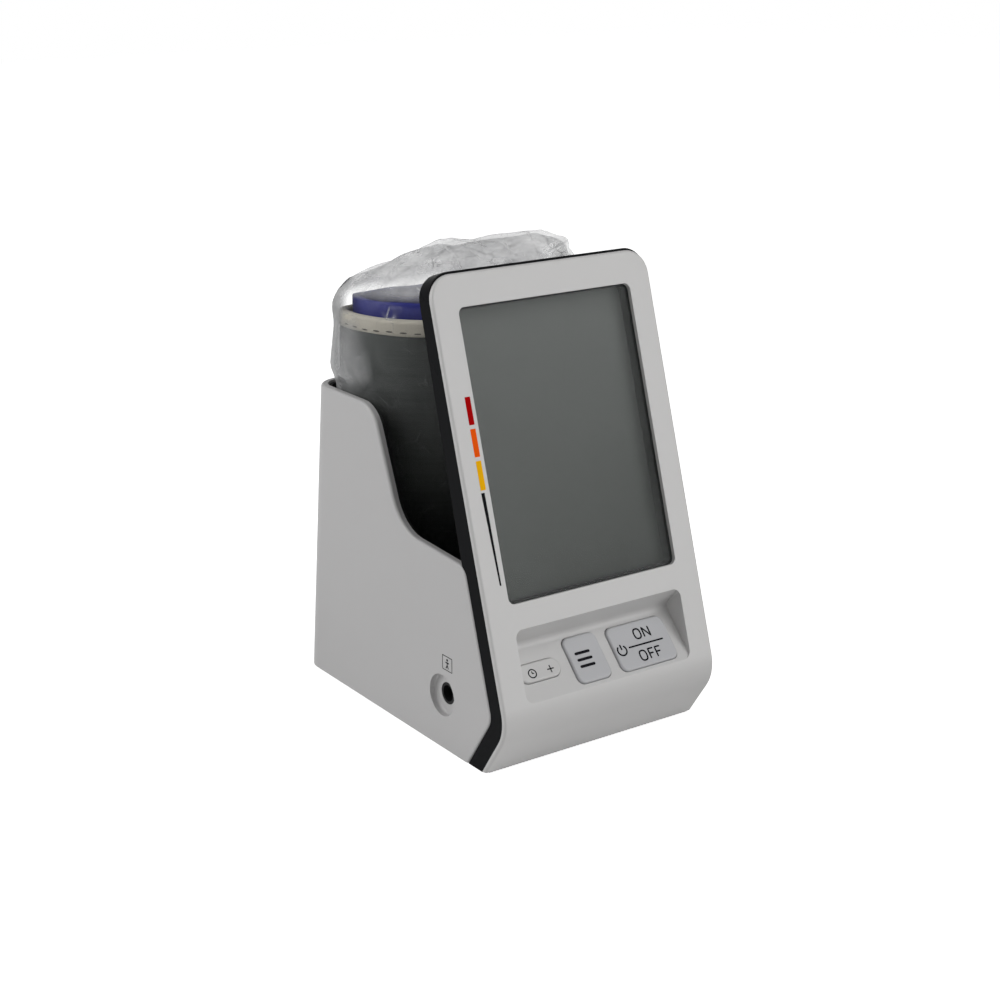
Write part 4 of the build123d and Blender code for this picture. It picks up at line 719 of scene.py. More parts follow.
def weave_group():
    """Woven cloth on the walked UV map: threads along and across pass over each other in turn, and
    long soft streaks run around the roll."""
    name = "Woven cloth"
    tree = start_group(
        name,
        [("Colour", COLOUR, WHITE), ("Pitch", NUMBER, 0.0006), ("Streaks", NUMBER, 0.25)],
        [("Colour", COLOUR), ("Height", NUMBER)],
    )
    if tree is None:
        return bpy.data.node_groups[name]
    given = tree.nodes.new("NodeGroupInput").outputs
    place = add(tree, "ShaderNodeUVMap", uv_map="walked").outputs[0]
    around, along, _ = apart(tree, place)
    rate = math(tree, "DIVIDE", np.pi, given["Pitch"])
    warp = math(tree, "SINE", math(tree, "MULTIPLY", around, rate))
    weft = math(tree, "SINE", math(tree, "MULTIPLY", along, rate))
    over = math(tree, "GREATER_THAN", math(tree, "MULTIPLY", warp, weft), 0.0)
    first = math(tree, "MULTIPLY", math(tree, "ABSOLUTE", warp), over)
    second = math(tree, "MULTIPLY", math(tree, "ABSOLUTE", weft), math(tree, "SUBTRACT", 1.0, over))
    height = math(tree, "ADD", first, second)
    squeezed = add(tree, "ShaderNodeMapping", {"Vector": place, "Scale": (26.0, 900.0, 1.0)}).outputs[0]
    streak = math(tree, "SUBTRACT", noise(tree, squeezed, 1.0, 3.0), 0.5)
    swing = math(tree, "MULTIPLY", math(tree, "MULTIPLY", streak, given["Streaks"]), 2.0)
    value = math(tree, "ADD", spread(tree, height, 0.0, 1.0, 0.92, 1.03), swing)
    shade = add(tree, "ShaderNodeHueSaturation", {"Color": given["Colour"], "Value": value}).outputs[0]
    add(tree, "NodeGroupOutput", {"Colour": shade, "Height": height})
    return tree


def crease_group():
    """Crumpled film: a net of thin creases where the cells of two patterns meet, as a mask and as a
    height. Slow noise bends both patterns, and quick noise breaks the creases up."""
    name = "Film creases"
    tree = start_group(name, [("Size", NUMBER, 0.02)], [("Crease", NUMBER), ("Height", NUMBER)])
    if tree is None:
        return bpy.data.node_groups[name]
    given = tree.nodes.new("NodeGroupInput").outputs
    place = object_place(tree)
    bend = noise(tree, place, 45.0, 2.0, output="Color")
    reach = (0.012, 0.012, 0.012)
    moved = add(tree, "ShaderNodeVectorMath", {0: bend, 1: reach}, operation="MULTIPLY").outputs[0]
    warped = add(tree, "ShaderNodeVectorMath", {0: place, 1: moved}, operation="ADD").outputs[0]
    scale = math(tree, "DIVIDE", 1.0, given["Size"])
    edges = []
    for factor in (1.0, 2.3):
        sockets = {"Vector": warped, "Scale": math(tree, "MULTIPLY", scale, factor)}
        cells = add(tree, "ShaderNodeTexVoronoi", sockets, feature="DISTANCE_TO_EDGE")
        edges.append(cells.outputs["Distance"])
    large, small = edges
    large_line = spread(tree, large, 0.0, 0.025, 1.0, 0.0)
    small_line = spread(tree, small, 0.0, 0.03, 0.8, 0.0)
    kept = spread(tree, noise(tree, place, 120.0, 2.0), 0.53, 0.66, 0.0, 1.0)
    crease = math(tree, "MULTIPLY", math(tree, "MAXIMUM", large_line, small_line), kept)
    large_rise = spread(tree, large, 0.0, 0.3, 0.0, 1.0)
    small_rise = spread(tree, small, 0.0, 0.3, 0.0, 0.4)
    height = math(tree, "ADD", large_rise, small_rise)
    add(tree, "NodeGroupOutput", {"Crease": crease, "Height": height})
    return tree


def start_material(name):
    """An empty material with its Principled shader."""
    material = bpy.data.materials.get(name) or bpy.data.materials.new(name)
    material.use_nodes = True
    tree = material.node_tree
    tree.nodes.clear()
    shader = add(tree, "ShaderNodeBsdfPrincipled")
    add(tree, "ShaderNodeOutputMaterial", {"Surface": shader.outputs[0]})
    return material, tree, shader


def put_group(tree, group, **sockets):
    """A node group in a material with its values. An underscore in a name stands for a space."""
    made = tree.nodes.new("ShaderNodeGroup")
    made.node_tree = group
    fill(tree, made, {key.replace("_", " "): value for key, value in sockets.items()})
    return made.outputs


def moulded(
    name, colour, roughness=0.4, grain=0.0003, depth=0.00001, mottle=0.03, metallic=0.0, gloss=0.5
):
    """Moulded or plated finish from the grain group."""
    material, tree, shader = start_material(name)
    made = put_group(
        tree, grain_group(), Colour=(*colour, 1.0), Roughness=roughness, Grain_size=grain, Depth=depth,
        Mottle=mottle,
    )
    fill(tree, shader, {
        "Base Color": made["Colour"], "Roughness": made["Roughness"], "Normal": made["Normal"],
        "Metallic": metallic, "Specular IOR Level": gloss,
    })
    return material


def woven(name, colour, pitch, streaks=0.25, depth=0.00008, roughness=0.85, sheen=0.1):
    """Cloth finish from the weave group."""
    material, tree, shader = start_material(name)
    made = put_group(tree, weave_group(), Colour=(*colour, 1.0), Pitch=pitch, Streaks=streaks)
    bump = add(tree, "ShaderNodeBump", {"Height": made["Height"], "Distance": depth, "Strength": 0.7})
    fill(tree, shader, {
        "Base Color": made["Colour"], "Normal": bump.outputs[0], "Roughness": roughness,
        "Sheen Weight": sheen,
    })
    return material


def board_material():
    """Green solder mask with lighter copper runs under it, laid out as rows and columns of bars."""
    material, tree, shader = start_material("Green board")
    green = (0.012, 0.13, 0.045, 1.0)
    made = put_group(tree, grain_group(), Colour=green, Roughness=0.35, Grain_size=0.0006)
    turn = (np.pi / 2, 0.0, 0.0)
    turned = add(tree, "ShaderNodeMapping", {"Vector": object_place(tree), "Rotation": turn}).outputs[0]
    bars = add(
        tree, "ShaderNodeTexBrick",
        {"Vector": turned, "Scale": 160.0, "Mortar Size": 0.05, "Brick Width": 2.4, "Row Height": 0.4},
    ).outputs["Fac"]
    tone = blend_colours(tree, bars, made["Colour"], (0.05, 0.27, 0.10))
    fill(tree, shader, {"Base Color": tone, "Roughness": made["Roughness"], "Normal": made["Normal"]})
    return material


def cell_material():
    """Battery jacket: dark label, with bare metal towards both ends of each cell."""
    material, tree, shader = start_material("Cell jacket")
    blue = (0.03, 0.05, 0.12, 1.0)
    made = put_group(tree, grain_group(), Colour=blue, Roughness=0.3, Grain_size=0.0006)
    across = math(tree, "ABSOLUTE", apart(tree, object_place(tree))[0])
    bare = spread(tree, across, LABEL_END, LABEL_END + LABEL_EDGE, 0.0, 1.0)
    tone = blend_colours(tree, bare, made["Colour"], (0.55, 0.55, 0.54))
    fill(tree, shader, {"Base Color": tone, "Metallic": bare, "Roughness": made["Roughness"]})
    return material


def panel_material():
    """Idle display: grey with a painted shade that darkens it towards its lower right corner, with a
    faint rubbed haze.
    """
    chosen = settings("display")
    material, tree, shader = start_material("Idle display")
    place = object_place(tree)
    across, _, height = apart(tree, place)
    # Painted shade: the grey is blended towards the darker corner colour, low on the panel and to its
    # right
    low = spread(tree, height, *PANEL_HEIGHTS, 1.0, 0.0)
    right = spread(tree, across, *PANEL_ACROSS, 0.68, 1.0)
    share = math(tree, "MULTIPLY", low, right)
    tone = blend_colours(tree, share, tuple(chosen.panel), tuple(chosen.painted_panel_shade))
    rough = spread(tree, noise(tree, place, 60.0, 3.0), 0.0, 1.0, 0.32, 0.46)
    fill(tree, shader, {"Base Color": tone, "Roughness": rough, "Specular IOR Level": 0.1})
    return material


def lens_material():
    """Clear lens: thin see-through sheet that keeps a weak gloss, with faint wiping marks."""
    material, tree, shader = start_material("Clear lens")
    wiped = noise(tree, object_place(tree), 35.0, 4.0)
    fill(tree, shader, {
        "Alpha": spread(tree, wiped, 0.3, 0.7, 0.07, 0.11),
        "Roughness": spread(tree, wiped, 0.3, 0.7, 0.06, 0.12),
        "Base Color": (0.29, 0.31, 0.30, 1.0), "Specular IOR Level": 0.2,
    })
    return material


def film_material():
    """Clear film: see-through where it lies flat, denser where it stands loose or folded and in its
    crumpled mouth, and whiter along its creases as painted highlights, with a wet gloss. Beside the roll
    and at its rear corners its colour is darkened as painted shade."""
    chosen = settings("film")
    material, tree, shader = start_material("Clear film")
    made = put_group(tree, crease_group(), Size=0.022)
    place = object_place(tree)
    across, depth, height = apart(tree, place)
    sideways = math(tree, "ABSOLUTE", across)
    above = spread(tree, height, chosen.shoulder + MOUTH_LOW, chosen.shoulder + MOUTH_HIGH, 0.0, 1.0)
    drawn = add(tree, "ShaderNodeMapping", {"Vector": place, "Scale": (1.0, 1.0, 2.2)}).outputs[0]
    cloud = noise(tree, drawn, 60.0, 4.0)
    dense = math(tree, "MULTIPLY", above, spread(tree, cloud, 0.36, 0.64, 0.21, 0.40))
    plain = math(tree, "ADD", 0.015, dense)
    facing = add(tree, "ShaderNodeLayerWeight", {"Blend": 0.35}).outputs["Facing"]
    beside = spread(tree, height, *LOOSE_HEIGHTS, 0.0, 1.0)
    below = math(tree, "MULTIPLY", beside, spread(tree, height, *BINDING_HEIGHTS, 0.6, 0.03))
    crown = math(tree, "MULTIPLY", above, 0.42)
    loose = math(tree, "ADD", 0.04, math(tree, "MAXIMUM", below, crown))
    glancing = math(tree, "MULTIPLY", math(tree, "POWER", facing, 2.0), loose)
    side = spread(tree, sideways, *SIDE_REACH, 0.0, 0.30)
    corner = spread(tree, sideways, *CORNER_REACH, 0.0, 1.0)
    # Rear corners: the film is denser where it is folded, and its colour there also gets painted shade
    fold_and_shade = math(tree, "MULTIPLY", corner, spread(tree, depth, *FOLD_AND_SHADE_REACH, 0.0, 0.55))
    beyond = math(tree, "MULTIPLY", math(tree, "MAXIMUM", side, fold_and_shade), beside)
    rim = math(tree, "ADD", glancing, beyond)
    # Crease lines: real folds, drawn denser above the shoulder and in the mouth as painted highlights
    clear = spread(tree, height, chosen.shoulder - 0.002, chosen.shoulder + 0.002, 0.07, 0.34)
    strength = math(tree, "MAXIMUM", clear, math(tree, "MULTIPLY", above, 0.6))
    mark = math(tree, "MULTIPLY", made["Crease"], strength)
    alpha = math(tree, "MINIMUM", math(tree, "ADD", math(tree, "ADD", plain, rim), mark), 0.92)
    milky = spread(tree, cloud, 0.4, 0.7, 0.0, 1.0)
    tone = blend_colours(tree, milky, tuple(chosen.tint), (0.86, 0.86, 0.865))
    # Painted shade: the film's colour turns grey beside the roll below the shoulder and at the rear
    # corners
    shade = math(tree, "MULTIPLY", beside, spread(tree, height, *PAINTED_SHADE_HEIGHTS, 1.2, 0.0))
    shade = math(tree, "MAXIMUM", shade, math(tree, "MULTIPLY", fold_and_shade, 1.4))
    tone = blend_colours(tree, shade, tone, (0.52, 0.525, 0.53))
    bump = add(tree, "ShaderNodeBump", {"Height": made["Height"], "Distance": 0.0018, "Strength": 0.6})
    fill(tree, shader, {
        "Alpha": alpha, "Base Color": tone, "Normal": bump.outputs[0], "Roughness": 0.13,
        "Specular IOR Level": 0.32,
    })
    return material


def seen_directly(tree):
    """1 for what the camera sees plainly or through glass, a fair share for what is mirrored, and 0 for
    light that falls on things."""
    seen = add(tree, "ShaderNodeLightPath").outputs
    mirrored = math(tree, "MULTIPLY", seen["Is Glossy Ray"], 0.35)
    through = math(tree, "MAXIMUM", seen["Is Camera Ray"], seen["Is Transmission Ray"])
    return math(tree, "MAXIMUM", through, mirrored)


def ink(name, colour):
    """Printed ink without gloss."""
    return moulded(name, tuple(colour), 0.45, 0.0002, 0.000004, 0.05, gloss=0.0)


def dress(node, material):
    """A frame node gets a material, and its mesh stays as it is."""
    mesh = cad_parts[node].data
    mesh.materials.clear()
    mesh.materials.append(material)


# Cuff shapes


def cuff_angles(count):
    """Angles around the roll whose points lie at equal distances along its outline."""
    fine = np.linspace(0, 2 * np.pi, FINE_STEPS)
    walk = walked(cuff_outline(fine, 0.0))
    return np.interp(np.arange(count) * walk[-1] / count, walk, fine)


def cuff_outline(angle, inset):
    """Outline of the roll from above, an inset inwards from its outer face: an ellipse in front of its
    middle, and behind it a flat oval of a high power that fills the pocket's corners."""
    chosen = settings("cuff")
    c = np.cos(angle)
    s = np.sin(angle)
    square_x = np.sign(c) * np.abs(c) ** (2 / REAR_POWER)
    square_y = np.abs(s) ** (2 / REAR_POWER)
    behind = s > 0
    x = np.where(behind, square_x, c) * (chosen.half_width - inset)
    y = np.where(behind, square_y * (chosen.back_reach - inset), s * (chosen.front_reach - inset))
    return np.stack([x, chosen.middle + y], -1)


def outwards(points):
    """From the roll's middle line to the points, level with them."""
    return (points - np.array([0.0, settings("cuff").middle, 0.0])) * LEVEL


def ring_section(layer, low, high, rise=30, turn=5, edge=0.5):
    """Closed section of a cloth ring as insets and heights: up its outer face, over a rounded upper
    edge, down its inner face and round its lower edge. Insets grow inwards."""
    inner, outer = layer
    half = (inner - outer) / 2
    middle = (inner + outer) / 2
    bend = np.linspace(0, np.pi, turn + 2)[1:-1]
    depth = half * edge * 2
    up = np.linspace(low + depth, high - depth, rise)
    insets = np.concatenate([
        np.full(rise, outer), middle - half * np.cos(bend),
        np.full(rise, inner), middle + half * np.cos(bend),
    ])
    heights = np.concatenate([
        up, high - depth + depth * np.sin(bend), up[::-1], low + depth - depth * np.sin(bend),
    ])
    return insets, heights


def cloth_ring(name, section, waves=0.0, seed=1, sizes=(0.05, 0.03), edge_wave=0.0, part=None):
    """A cloth ring: the section carried around the roll's outline. Soft waves move its face in and out
    and its edges up and down. With part, the first and last angle, the ring has a gap and its ends
    are drawn together."""
    insets, heights = section
    around = settings("cuff").around
    angle = cuff_angles(around) if part is None else np.linspace(*part, around // 2)
    outlines = np.stack([cuff_outline(angle, inset) for inset in insets])
    levels = np.broadcast_to(heights[:, None, None], outlines.shape[:2] + (1,))
    points = np.concatenate([outlines, levels], -1)
    face_wave = crumple(points, seed, sizes, sharp=False) * waves
    points = points + unit(outwards(points)) * face_wave[..., None]
    share = (heights - heights.min()) / (heights.max() - heights.min())
    lift = crumple(points * LEVEL, seed + 1, EDGE_WAVES, sharp=False)
    points[..., 2] += lift * edge_wave * share[:, None]
    if part is not None:
        points = capped(points)
    return grid_mesh(name, points, wrap_rows=True, wrap_columns=part is None)


def stitch_ring(name, height, pitch):
    """Stitches on the binding: small capsules laid along the outline at one height. A capsule is a
    circle carried along its length, with a radius that follows a half oval."""
    chosen = settings("cuff")
    fine = cuff_outline(cuff_angles(STITCH_STEPS), -STITCH_OUT)
    walk = walked(fine, True)
    closed = np.concatenate([fine, fine[:1]])
    count = int(walk[-1] / pitch)
    along = np.linspace(-0.5, 0.5, 9) * pitch * STITCH_SHARE
    starts = np.arange(count) * walk[-1] / count
    stops = (starts[:, None] + along[None, :]) % walk[-1]
    line = np.stack([np.interp(stops, walk, closed[:, i]) for i in range(2)], -1)
    next_stops = (stops + STITCH_AHEAD) % walk[-1]
    way = unit(np.stack([np.interp(next_stops, walk, closed[:, i]) for i in range(2)], -1) - line)
    out = np.stack([way[..., 1], -way[..., 0]], -1)
    out = out * np.sign(((line - [0.0, chosen.middle]) * out).sum(-1).mean())
    radius = STITCH_RADIUS * np.sqrt(np.clip(1 - (along / (pitch * STITCH_SHARE / 2)) ** 2, 0, 1))
    turn = np.linspace(0, 2 * np.pi, 8, endpoint=False)
    meshes = []
    for i in range(count):
        flat = line[i][:, None] + out[i][:, None] * (radius[:, None] * np.cos(turn))[..., None]
        level = height + radius[:, None] * np.sin(turn) + STITCH_SWAY * np.sin(i * 1.7)
        meshes.append(grid_mesh(name, np.concatenate([flat, level[..., None]], -1), wrap_columns=True))
    return join_meshes(name, meshes)


# Pieces


class MONITOR_OT_shell(Operator):
    """Gives the moulded shells, the band, the liner and the feet their finishes"""

    bl_idname = "monitor.shell"
    bl_label = "Shells and feet"

    def execute(self, context):
        chosen = settings("shell")
        grain = chosen.grain
        moulded("Silver shell", tuple(chosen.silver), 0.40, grain, 0.000012, 0.012, metallic=0.06)
        moulded("Grey shell", tuple(chosen.grey), 0.42, grain, 0.000014, 0.014)
        moulded("Black band", tuple(chosen.band), 0.28, grain * 2, 0.000006, 0.04, gloss=0.03)
        moulded("Black liner", tuple(chosen.liner), 0.5, grain * 2, 0.00002, 0.05, gloss=0.2)
        moulded("Black rubber", tuple(chosen.rubber), 0.75, grain * 2, 0.00003, 0.08)
        for node, material in SHELL_NODES.items():
            dress(node, bpy.data.materials[material])
        return {"FINISHED"}


class MONITOR_OT_display(Operator):
    """Gives the display, its frame and its lens their finishes"""

    bl_idname = "monitor.display"
    bl_label = "Display"

    def execute(self, context):
        chosen = settings("display")
        dress("lcd_panel", panel_material())
        dress("display_lens", lens_material())
        dress("lcd_frame", moulded("Display frame", tuple(chosen.wall), 0.5, 0.0005, 0.00001, 0.05))
        return {"FINISHED"}


class MONITOR_OT_keys(Operator):
    """Finishes the keys and prints their symbols"""

    bl_idname = "monitor.keys"
    bl_label = "Keys"

    def execute(self, context):
        chosen = settings("keys")
        body = moulded("Key plastic", tuple(chosen.body), 0.4, 0.0003, 0.00001, 0.02)
        for node in ("start_button", "memory_button"):
            dress(node, body)
        dress("set_rocker", bpy.data.materials["Silver shell"])
        black = ink("Key ink", chosen.ink)
        symbols = (
            ("start_symbol", shifted(START_KEY, self.on_and_off()), "start_key", 1.0),
            ("memory_symbol", shifted(MEMORY_KEY, self.bars()), "memory_key", 1.7),
            ("rocker_symbols", self.clock_and_plus(), "set_key", 0.72),
        )
        for name, parts, key, width_share in symbols:
            width = chosen.stroke * width_share
            symbol_piece(name, parts, KEYS, black, key, width, chosen.print_height)
        return {"FINISHED"}

    def on_and_off(self):
        """The power sign, and to its right a rule with one word above it and one below."""
        across = -0.0108
        ring = (arc_path((across, -0.0010), LETTER_HALF_HEIGHT, 125, 415), False)
        bar = open_line((across, -0.0008), (across, 0.0016))
        rule = open_line((-0.0073, -0.0006), (0.0103, -0.0006))
        upper = 0.0041
        lower = -0.0052
        on_word = [letter_o(-0.0005, upper), letter_n(0.0025, upper)]
        off_word = [letter_o(-0.0022, lower), *letter_f(0.0009, lower), *letter_f(0.0044, lower)]
        return [ring, bar, rule, *on_word, *off_word]

    def bars(self):
        """Three short lines, one above the other."""
        return [open_line((-0.0051, y), (0.0022, y)) for y in (-0.0032, -0.0004, 0.0024)]

    def clock_and_plus(self):
        """A round clock face with its two hands, and a plus."""
        arm = 0.0016
        clock = [
            (arc_path((0.0, 0.0), 0.0017, 0, 352, 36), True),
            open_line((0.0, 0.0010), (0.0, 0.0), (0.0008, 0.0)),
        ]
        plus = [open_line((-arm, 0.0), (arm, 0.0)), open_line((0.0, -arm), (0.0, arm))]
        return shifted(ROCKER_CLOCK, clock) + shifted(ROCKER_PLUS, plus)


class MONITOR_OT_marks(Operator):
    """Prints the level marks beside the display and the arm-side mark above the air jack"""

    bl_idname = "monitor.marks"
    bl_label = "Printed marks"

    def execute(self, context):
        chosen = settings("marks")
        height = settings("keys").print_height
        for level, low, high in LEVELS:
            name = "level_mark_" + level
            path = line_path((chosen.across, low), (chosen.across, high))
            mesh = stroke_mesh(name, path, chosen.width, FACE, height, end_round=0.0002)
            add_piece(name, mesh, ink("Ink of " + name, getattr(chosen, level)), "base")
        black = ink("Mark ink", chosen.plain)
        self.pointer(chosen.across, height, black)
        self.side_mark(height, black)
        return {"FINISHED"}

    def pointer(self, across, height, black):
        """The long pointer under the coloured marks: a bar whose width shrinks evenly downwards."""
        share = np.linspace(0, 1, 40)
        left = across - POINTER_SHIFT + POINTER_SHIFT * share
        path = np.stack([left, np.linspace(*POINTER_ENDS, 40)], -1)
        half = (POINTER_WIDTH + (POINTER_TIP - POINTER_WIDTH) * share) / 2
        section = ((0, -PRINT_SINK), (2, -PRINT_SINK), (2, height), (0, height))
        points = carried(path, np.array([1.0, 0.0]), half, section, FACE)
        mesh = grid_mesh("level_pointer", capped(points), wrap_rows=True)
        add_piece("level_pointer", mesh, black, "base")

    def side_mark(self, height, black):
        """A stick figure in a square frame."""
        reach = 0.0033
        rise = 0.0029
        three_sides = line_path((-reach, -rise), (reach, -rise), (reach, rise), (-reach, rise))
        last_side = line_path((-reach, rise), (-reach, -0.0025))
        border = [(np.concatenate([three_sides, last_side]), True)]
        symbol_piece("side_frame", border, LEFT_SIDE, black, "base", 0.0003, height)
        hip = (0.0, -0.0006)
        figure = [
            (arc_path((0.0, 0.0015), 0.0003, 0, 340, 18), True),
            open_line((0.0, 0.0008), hip),
            open_line((-0.0012, 0.0003), (0.0012, 0.0003)),
            open_line((-0.0008, -0.0021), hip, (0.0008, -0.0021)),
        ]
        symbol_piece("side_mark", figure, LEFT_SIDE, black, "base", 0.0005, height)


class MONITOR_OT_inner(Operator):
    """Gives the parts inside the housing their finishes"""

    bl_idname = "monitor.inner"
    bl_label = "Inner parts"

    def execute(self, context):
        board_material()
        cell_material()
        moulded("Clear silicone", (0.62, 0.63, 0.63), 0.55, 0.0006, 0.00001, 0.05)
        moulded("Moulded chip", (0.018, 0.018, 0.019), 0.6, 0.0004, 0.00002, 0.06)
        moulded("Yellow brass", (0.62, 0.44, 0.14), 0.3, 0.0008, 0.000006, 0.05, metallic=1.0)
        moulded("Plated steel", (0.55, 0.55, 0.54), 0.32, 0.0006, 0.000006, 0.06, metallic=1.0)
        moulded("Can sleeve", (0.04, 0.06, 0.16), 0.3, 0.0008, 0.000004, 0.05, gloss=0.6)
        moulded("Ribbon film", (0.62, 0.60, 0.52), 0.35, 0.0012, 0.00001, 0.04)
        for node, material in INNER_NODES.items():
            dress(node, bpy.data.materials[material])
        return {"FINISHED"}


class MONITOR_OT_cuff(Operator):
    """Builds the rolled arm cuff: sleeve, bindings with stitches, lining, inner wrap and bladder"""

    bl_idname = "monitor.cuff"
    bl_label = "Arm cuff"

    def execute(self, context):
        chosen = settings("cuff")
        cloth = woven("Grey cloth", tuple(chosen.cloth), 0.0007, 0.24, 0.00003)
        self.sleeve(chosen, cloth)
        self.binding(chosen)
        self.lining(chosen)
        self.inner(chosen, cloth)
        self.bladder(chosen)
        return {"FINISHED"}

    def sleeve(self, chosen, cloth):
        """The grey outer turn, its edges under the binding."""
        under = chosen.binding - BINDING_OVERLAP
        section = ring_section(SLEEVE_LAYER, chosen.low + under, chosen.high - under, 60)
        mesh = cloth_ring("cuff_sleeve_cloth", section, waves=0.00035, seed=3, sizes=(0.07, 0.045, 0.03))
        piece = add_piece("cuff_sleeve_cloth", mesh, cloth, "cuff", ["cuff_sleeve"])

    def binding(self, chosen):
        """The pale tape round both edges, with a row of stitches on each."""
        lower = chosen.low + chosen.binding
        upper = chosen.high - chosen.binding
        bands = []
        for bottom, top in ((chosen.low, lower), (upper, chosen.high)):
            section = ring_section(BINDING_LAYER, bottom, top, 14, 7, 0.4)
            bands.append(cloth_ring("binding", section, 0.00012, 5, (0.02, 0.012), 0.0))
        name = "cuff_binding_tape"
        tape = woven("Beige tape", tuple(chosen.tape), 0.0005, 0.12, 0.00006, roughness=0.75)
        add_piece(name, join_meshes(name, bands), tape, "cuff", ["cuff_binding"])
        name = "cuff_stitches"
        thread = woven("Stitch thread", tuple(chosen.thread), 0.0002, 0.1, 0.00002)
        rows = (lower - STITCH_FROM_EDGE, upper + STITCH_FROM_EDGE)
        seams = [stitch_ring("seam", height, chosen.stitch_pitch) for height in rows]
        add_piece(name, join_meshes(name, seams), thread, "cuff")

    def lining(self, chosen):
        """The blue turn that stands above the binding."""
        section = ring_section(LINING_LAYER, chosen.low + LINING_INSET, chosen.high + LINING_RISE, 50, 3)
        mesh = cloth_ring("cuff_lining_cloth", section, waves=0.0002, seed=8, edge_wave=0.0004)
        blue = woven("Blue lining", tuple(chosen.lining), 0.0003, 0.15, 0.00003, roughness=0.5, sheen=0.0)
        add_piece("cuff_lining_cloth", mesh, blue, "cuff", ["cuff_lining"])

    def inner(self, chosen, cloth):
        """The inner turn, and the hook tape on it."""
        low = chosen.low + WRAP_LOW_INSET
        section = ring_section(WRAP_LAYER, low, chosen.high - WRAP_HIGH_INSET, 50)
        mesh = cloth_ring("cuff_inner_cloth", section, 0.00025, 11, (0.06, 0.035), 0.0005)
        add_piece("cuff_inner_cloth", mesh, cloth, "cuff", ["cuff_inner_wrap"])
        section = ring_section(HOOK_LAYER, *HOOK_HEIGHTS, 20, 3)
        hooks = cloth_ring("cuff_hook_tape", section, part=HOOK_PART)
        tape = woven("Hook tape", (0.03, 0.03, 0.032), 0.0012, 0.3, 0.0003, roughness=0.95)
        add_piece("cuff_hook_tape", hooks, tape, "cuff", ["cuff_hook_strip"])

    def bladder(self, chosen):
        """The rubber bladder between the sleeve and the lining."""
        section = ring_section(BLADDER_LAYER, chosen.low + BLADDER_INSET, chosen.high - BLADDER_INSET, 30)
        mesh = cloth_ring("cuff_bladder_skin", section, part=BLADDER_PART)
        rubber = moulded("Bladder rubber", (0.03, 0.03, 0.03), 0.7, 0.0006, 0.00002, 0.06)
        add_piece("cuff_bladder_skin", mesh, rubber, "cuff", ["cuff_bladder"])


class MONITOR_OT_film(Operator):
    """Builds the clear film bag around the cuff, with its gathered and crumpled mouth"""

    bl_idname = "monitor.film"
    bl_label = "Film bag"

    def execute(self, context):
        chosen = settings("film")
        angle = cuff_angles(settings("cuff").around)
        floor, wall = self.floor_and_wall(angle, chosen)
        climb = np.linspace(0, 1, NECK_ROWS)[1:]
        lean = (climb**1.35)[:, None, None]
        rise = (1 - (1 - climb) ** 1.25)[:, None, None]
        to_mouth = self.mouth(angle, chosen.mouth) - wall[-1]
        neck = wall[-1] + to_mouth * np.concatenate([lean, lean, rise], -1)
        moving = np.concatenate([np.zeros(len(floor)), np.ones(len(wall) + len(neck))])[:, None]
        points = self.creased(np.concatenate([floor, wall, neck]), moving, chosen)
        mesh = grid_mesh("film_bag", points, wrap_columns=True)
        piece = add_piece("film_bag", mesh, film_material(), "cuff", ["cuff_bag"])
        skin = piece.modifiers.new("Film wall", "SOLIDIFY")
        skin.thickness = chosen.thickness
        skin.offset = 0.0
        across = float(walked(points.transpose(1, 0, 2), True)[-1])
        return {"FINISHED"}

    def floor_and_wall(self, angle, chosen):
        """The flat floor under the roll, from its middle outwards, and the wall around the roll. The wall
        stands off more where it is loose, most on the left and a little on the right."""
        roll = settings("cuff")
        bottom = roll.low - FLOOR_DROP
        middle = np.array([0.0, roll.middle])
        body = cuff_outline(angle, -chosen.outset) - middle
        rows = [body * share + middle for share in np.linspace(0, 1, FLOOR_ROWS)[:-1]]
        floor = np.stack([self.level_row(row, bottom) for row in rows])
        heights = np.linspace(bottom + FLOOR_TURN, chosen.shoulder, WALL_ROWS)
        opening = np.clip((heights - FLARE_START) / FLARE_RISE, 0, 1)
        closing = np.clip((chosen.shoulder - heights) / FLARE_FALL, 0, 1)
        left = np.clip(-np.cos(angle - 0.55), 0, 1) ** 1.5
        side = left + 0.25 * np.clip(np.cos(angle), 0, 1)
        outsets = [chosen.outset + share * chosen.flare * side for share in opening * closing]
        rows = zip(outsets, heights)
        wall = np.stack([self.level_row(cuff_outline(angle, -out), height) for out, height in rows])
        return floor, wall

    def level_row(self, outline, height):
        """An outline at one height."""
        return np.concatenate([outline, np.full((len(outline), 1), height)], -1)

    def mouth(self, angle, opening):
        """Edge of the mouth: the crest line from left to right and back, its two lips drawn apart by
        the opening. The cosine of the angle picks the place along the crest."""
        share = (1 + np.cos(angle)) / 2
        knots = np.linspace(0, 1, len(MOUTH_CREST))
        line = np.stack([np.interp(share, knots, MOUTH_CREST[:, i]) for i in range(3)], -1)
        line[:, 1] += opening * np.sin(angle)
        line[:, 2] -= LIP_DROP * (1 + np.sin(angle)) / 2
        return line

    def creased(self, points, moving, chosen):
        """The film pushed in and out: by sharp folds above the roll and by long faint ones beside it."""
        away = outwards(points)
        above = points[..., 2] - chosen.shoulder
        away[..., 2] += FOLD_LIFT * np.clip(above / FOLD_LIFT_RISE, 0, 1) * FOLD_LIFT_RISE
        away /= np.maximum(np.linalg.norm(away, axis=-1), 1e-6)[..., None]
        crown = np.clip((above + FOLD_START) / FOLD_RISE, 0, 1)
        folds = crumple(points, 21, FOLD_SIZES)
        ripple = crumple(points * RIPPLE_STRETCH, 33, RIPPLE_SIZES)
        depth = moving * (crown * folds * chosen.crumple + (1 - crown) * ripple * chosen.ripple)
        return points + away * depth[..., None]


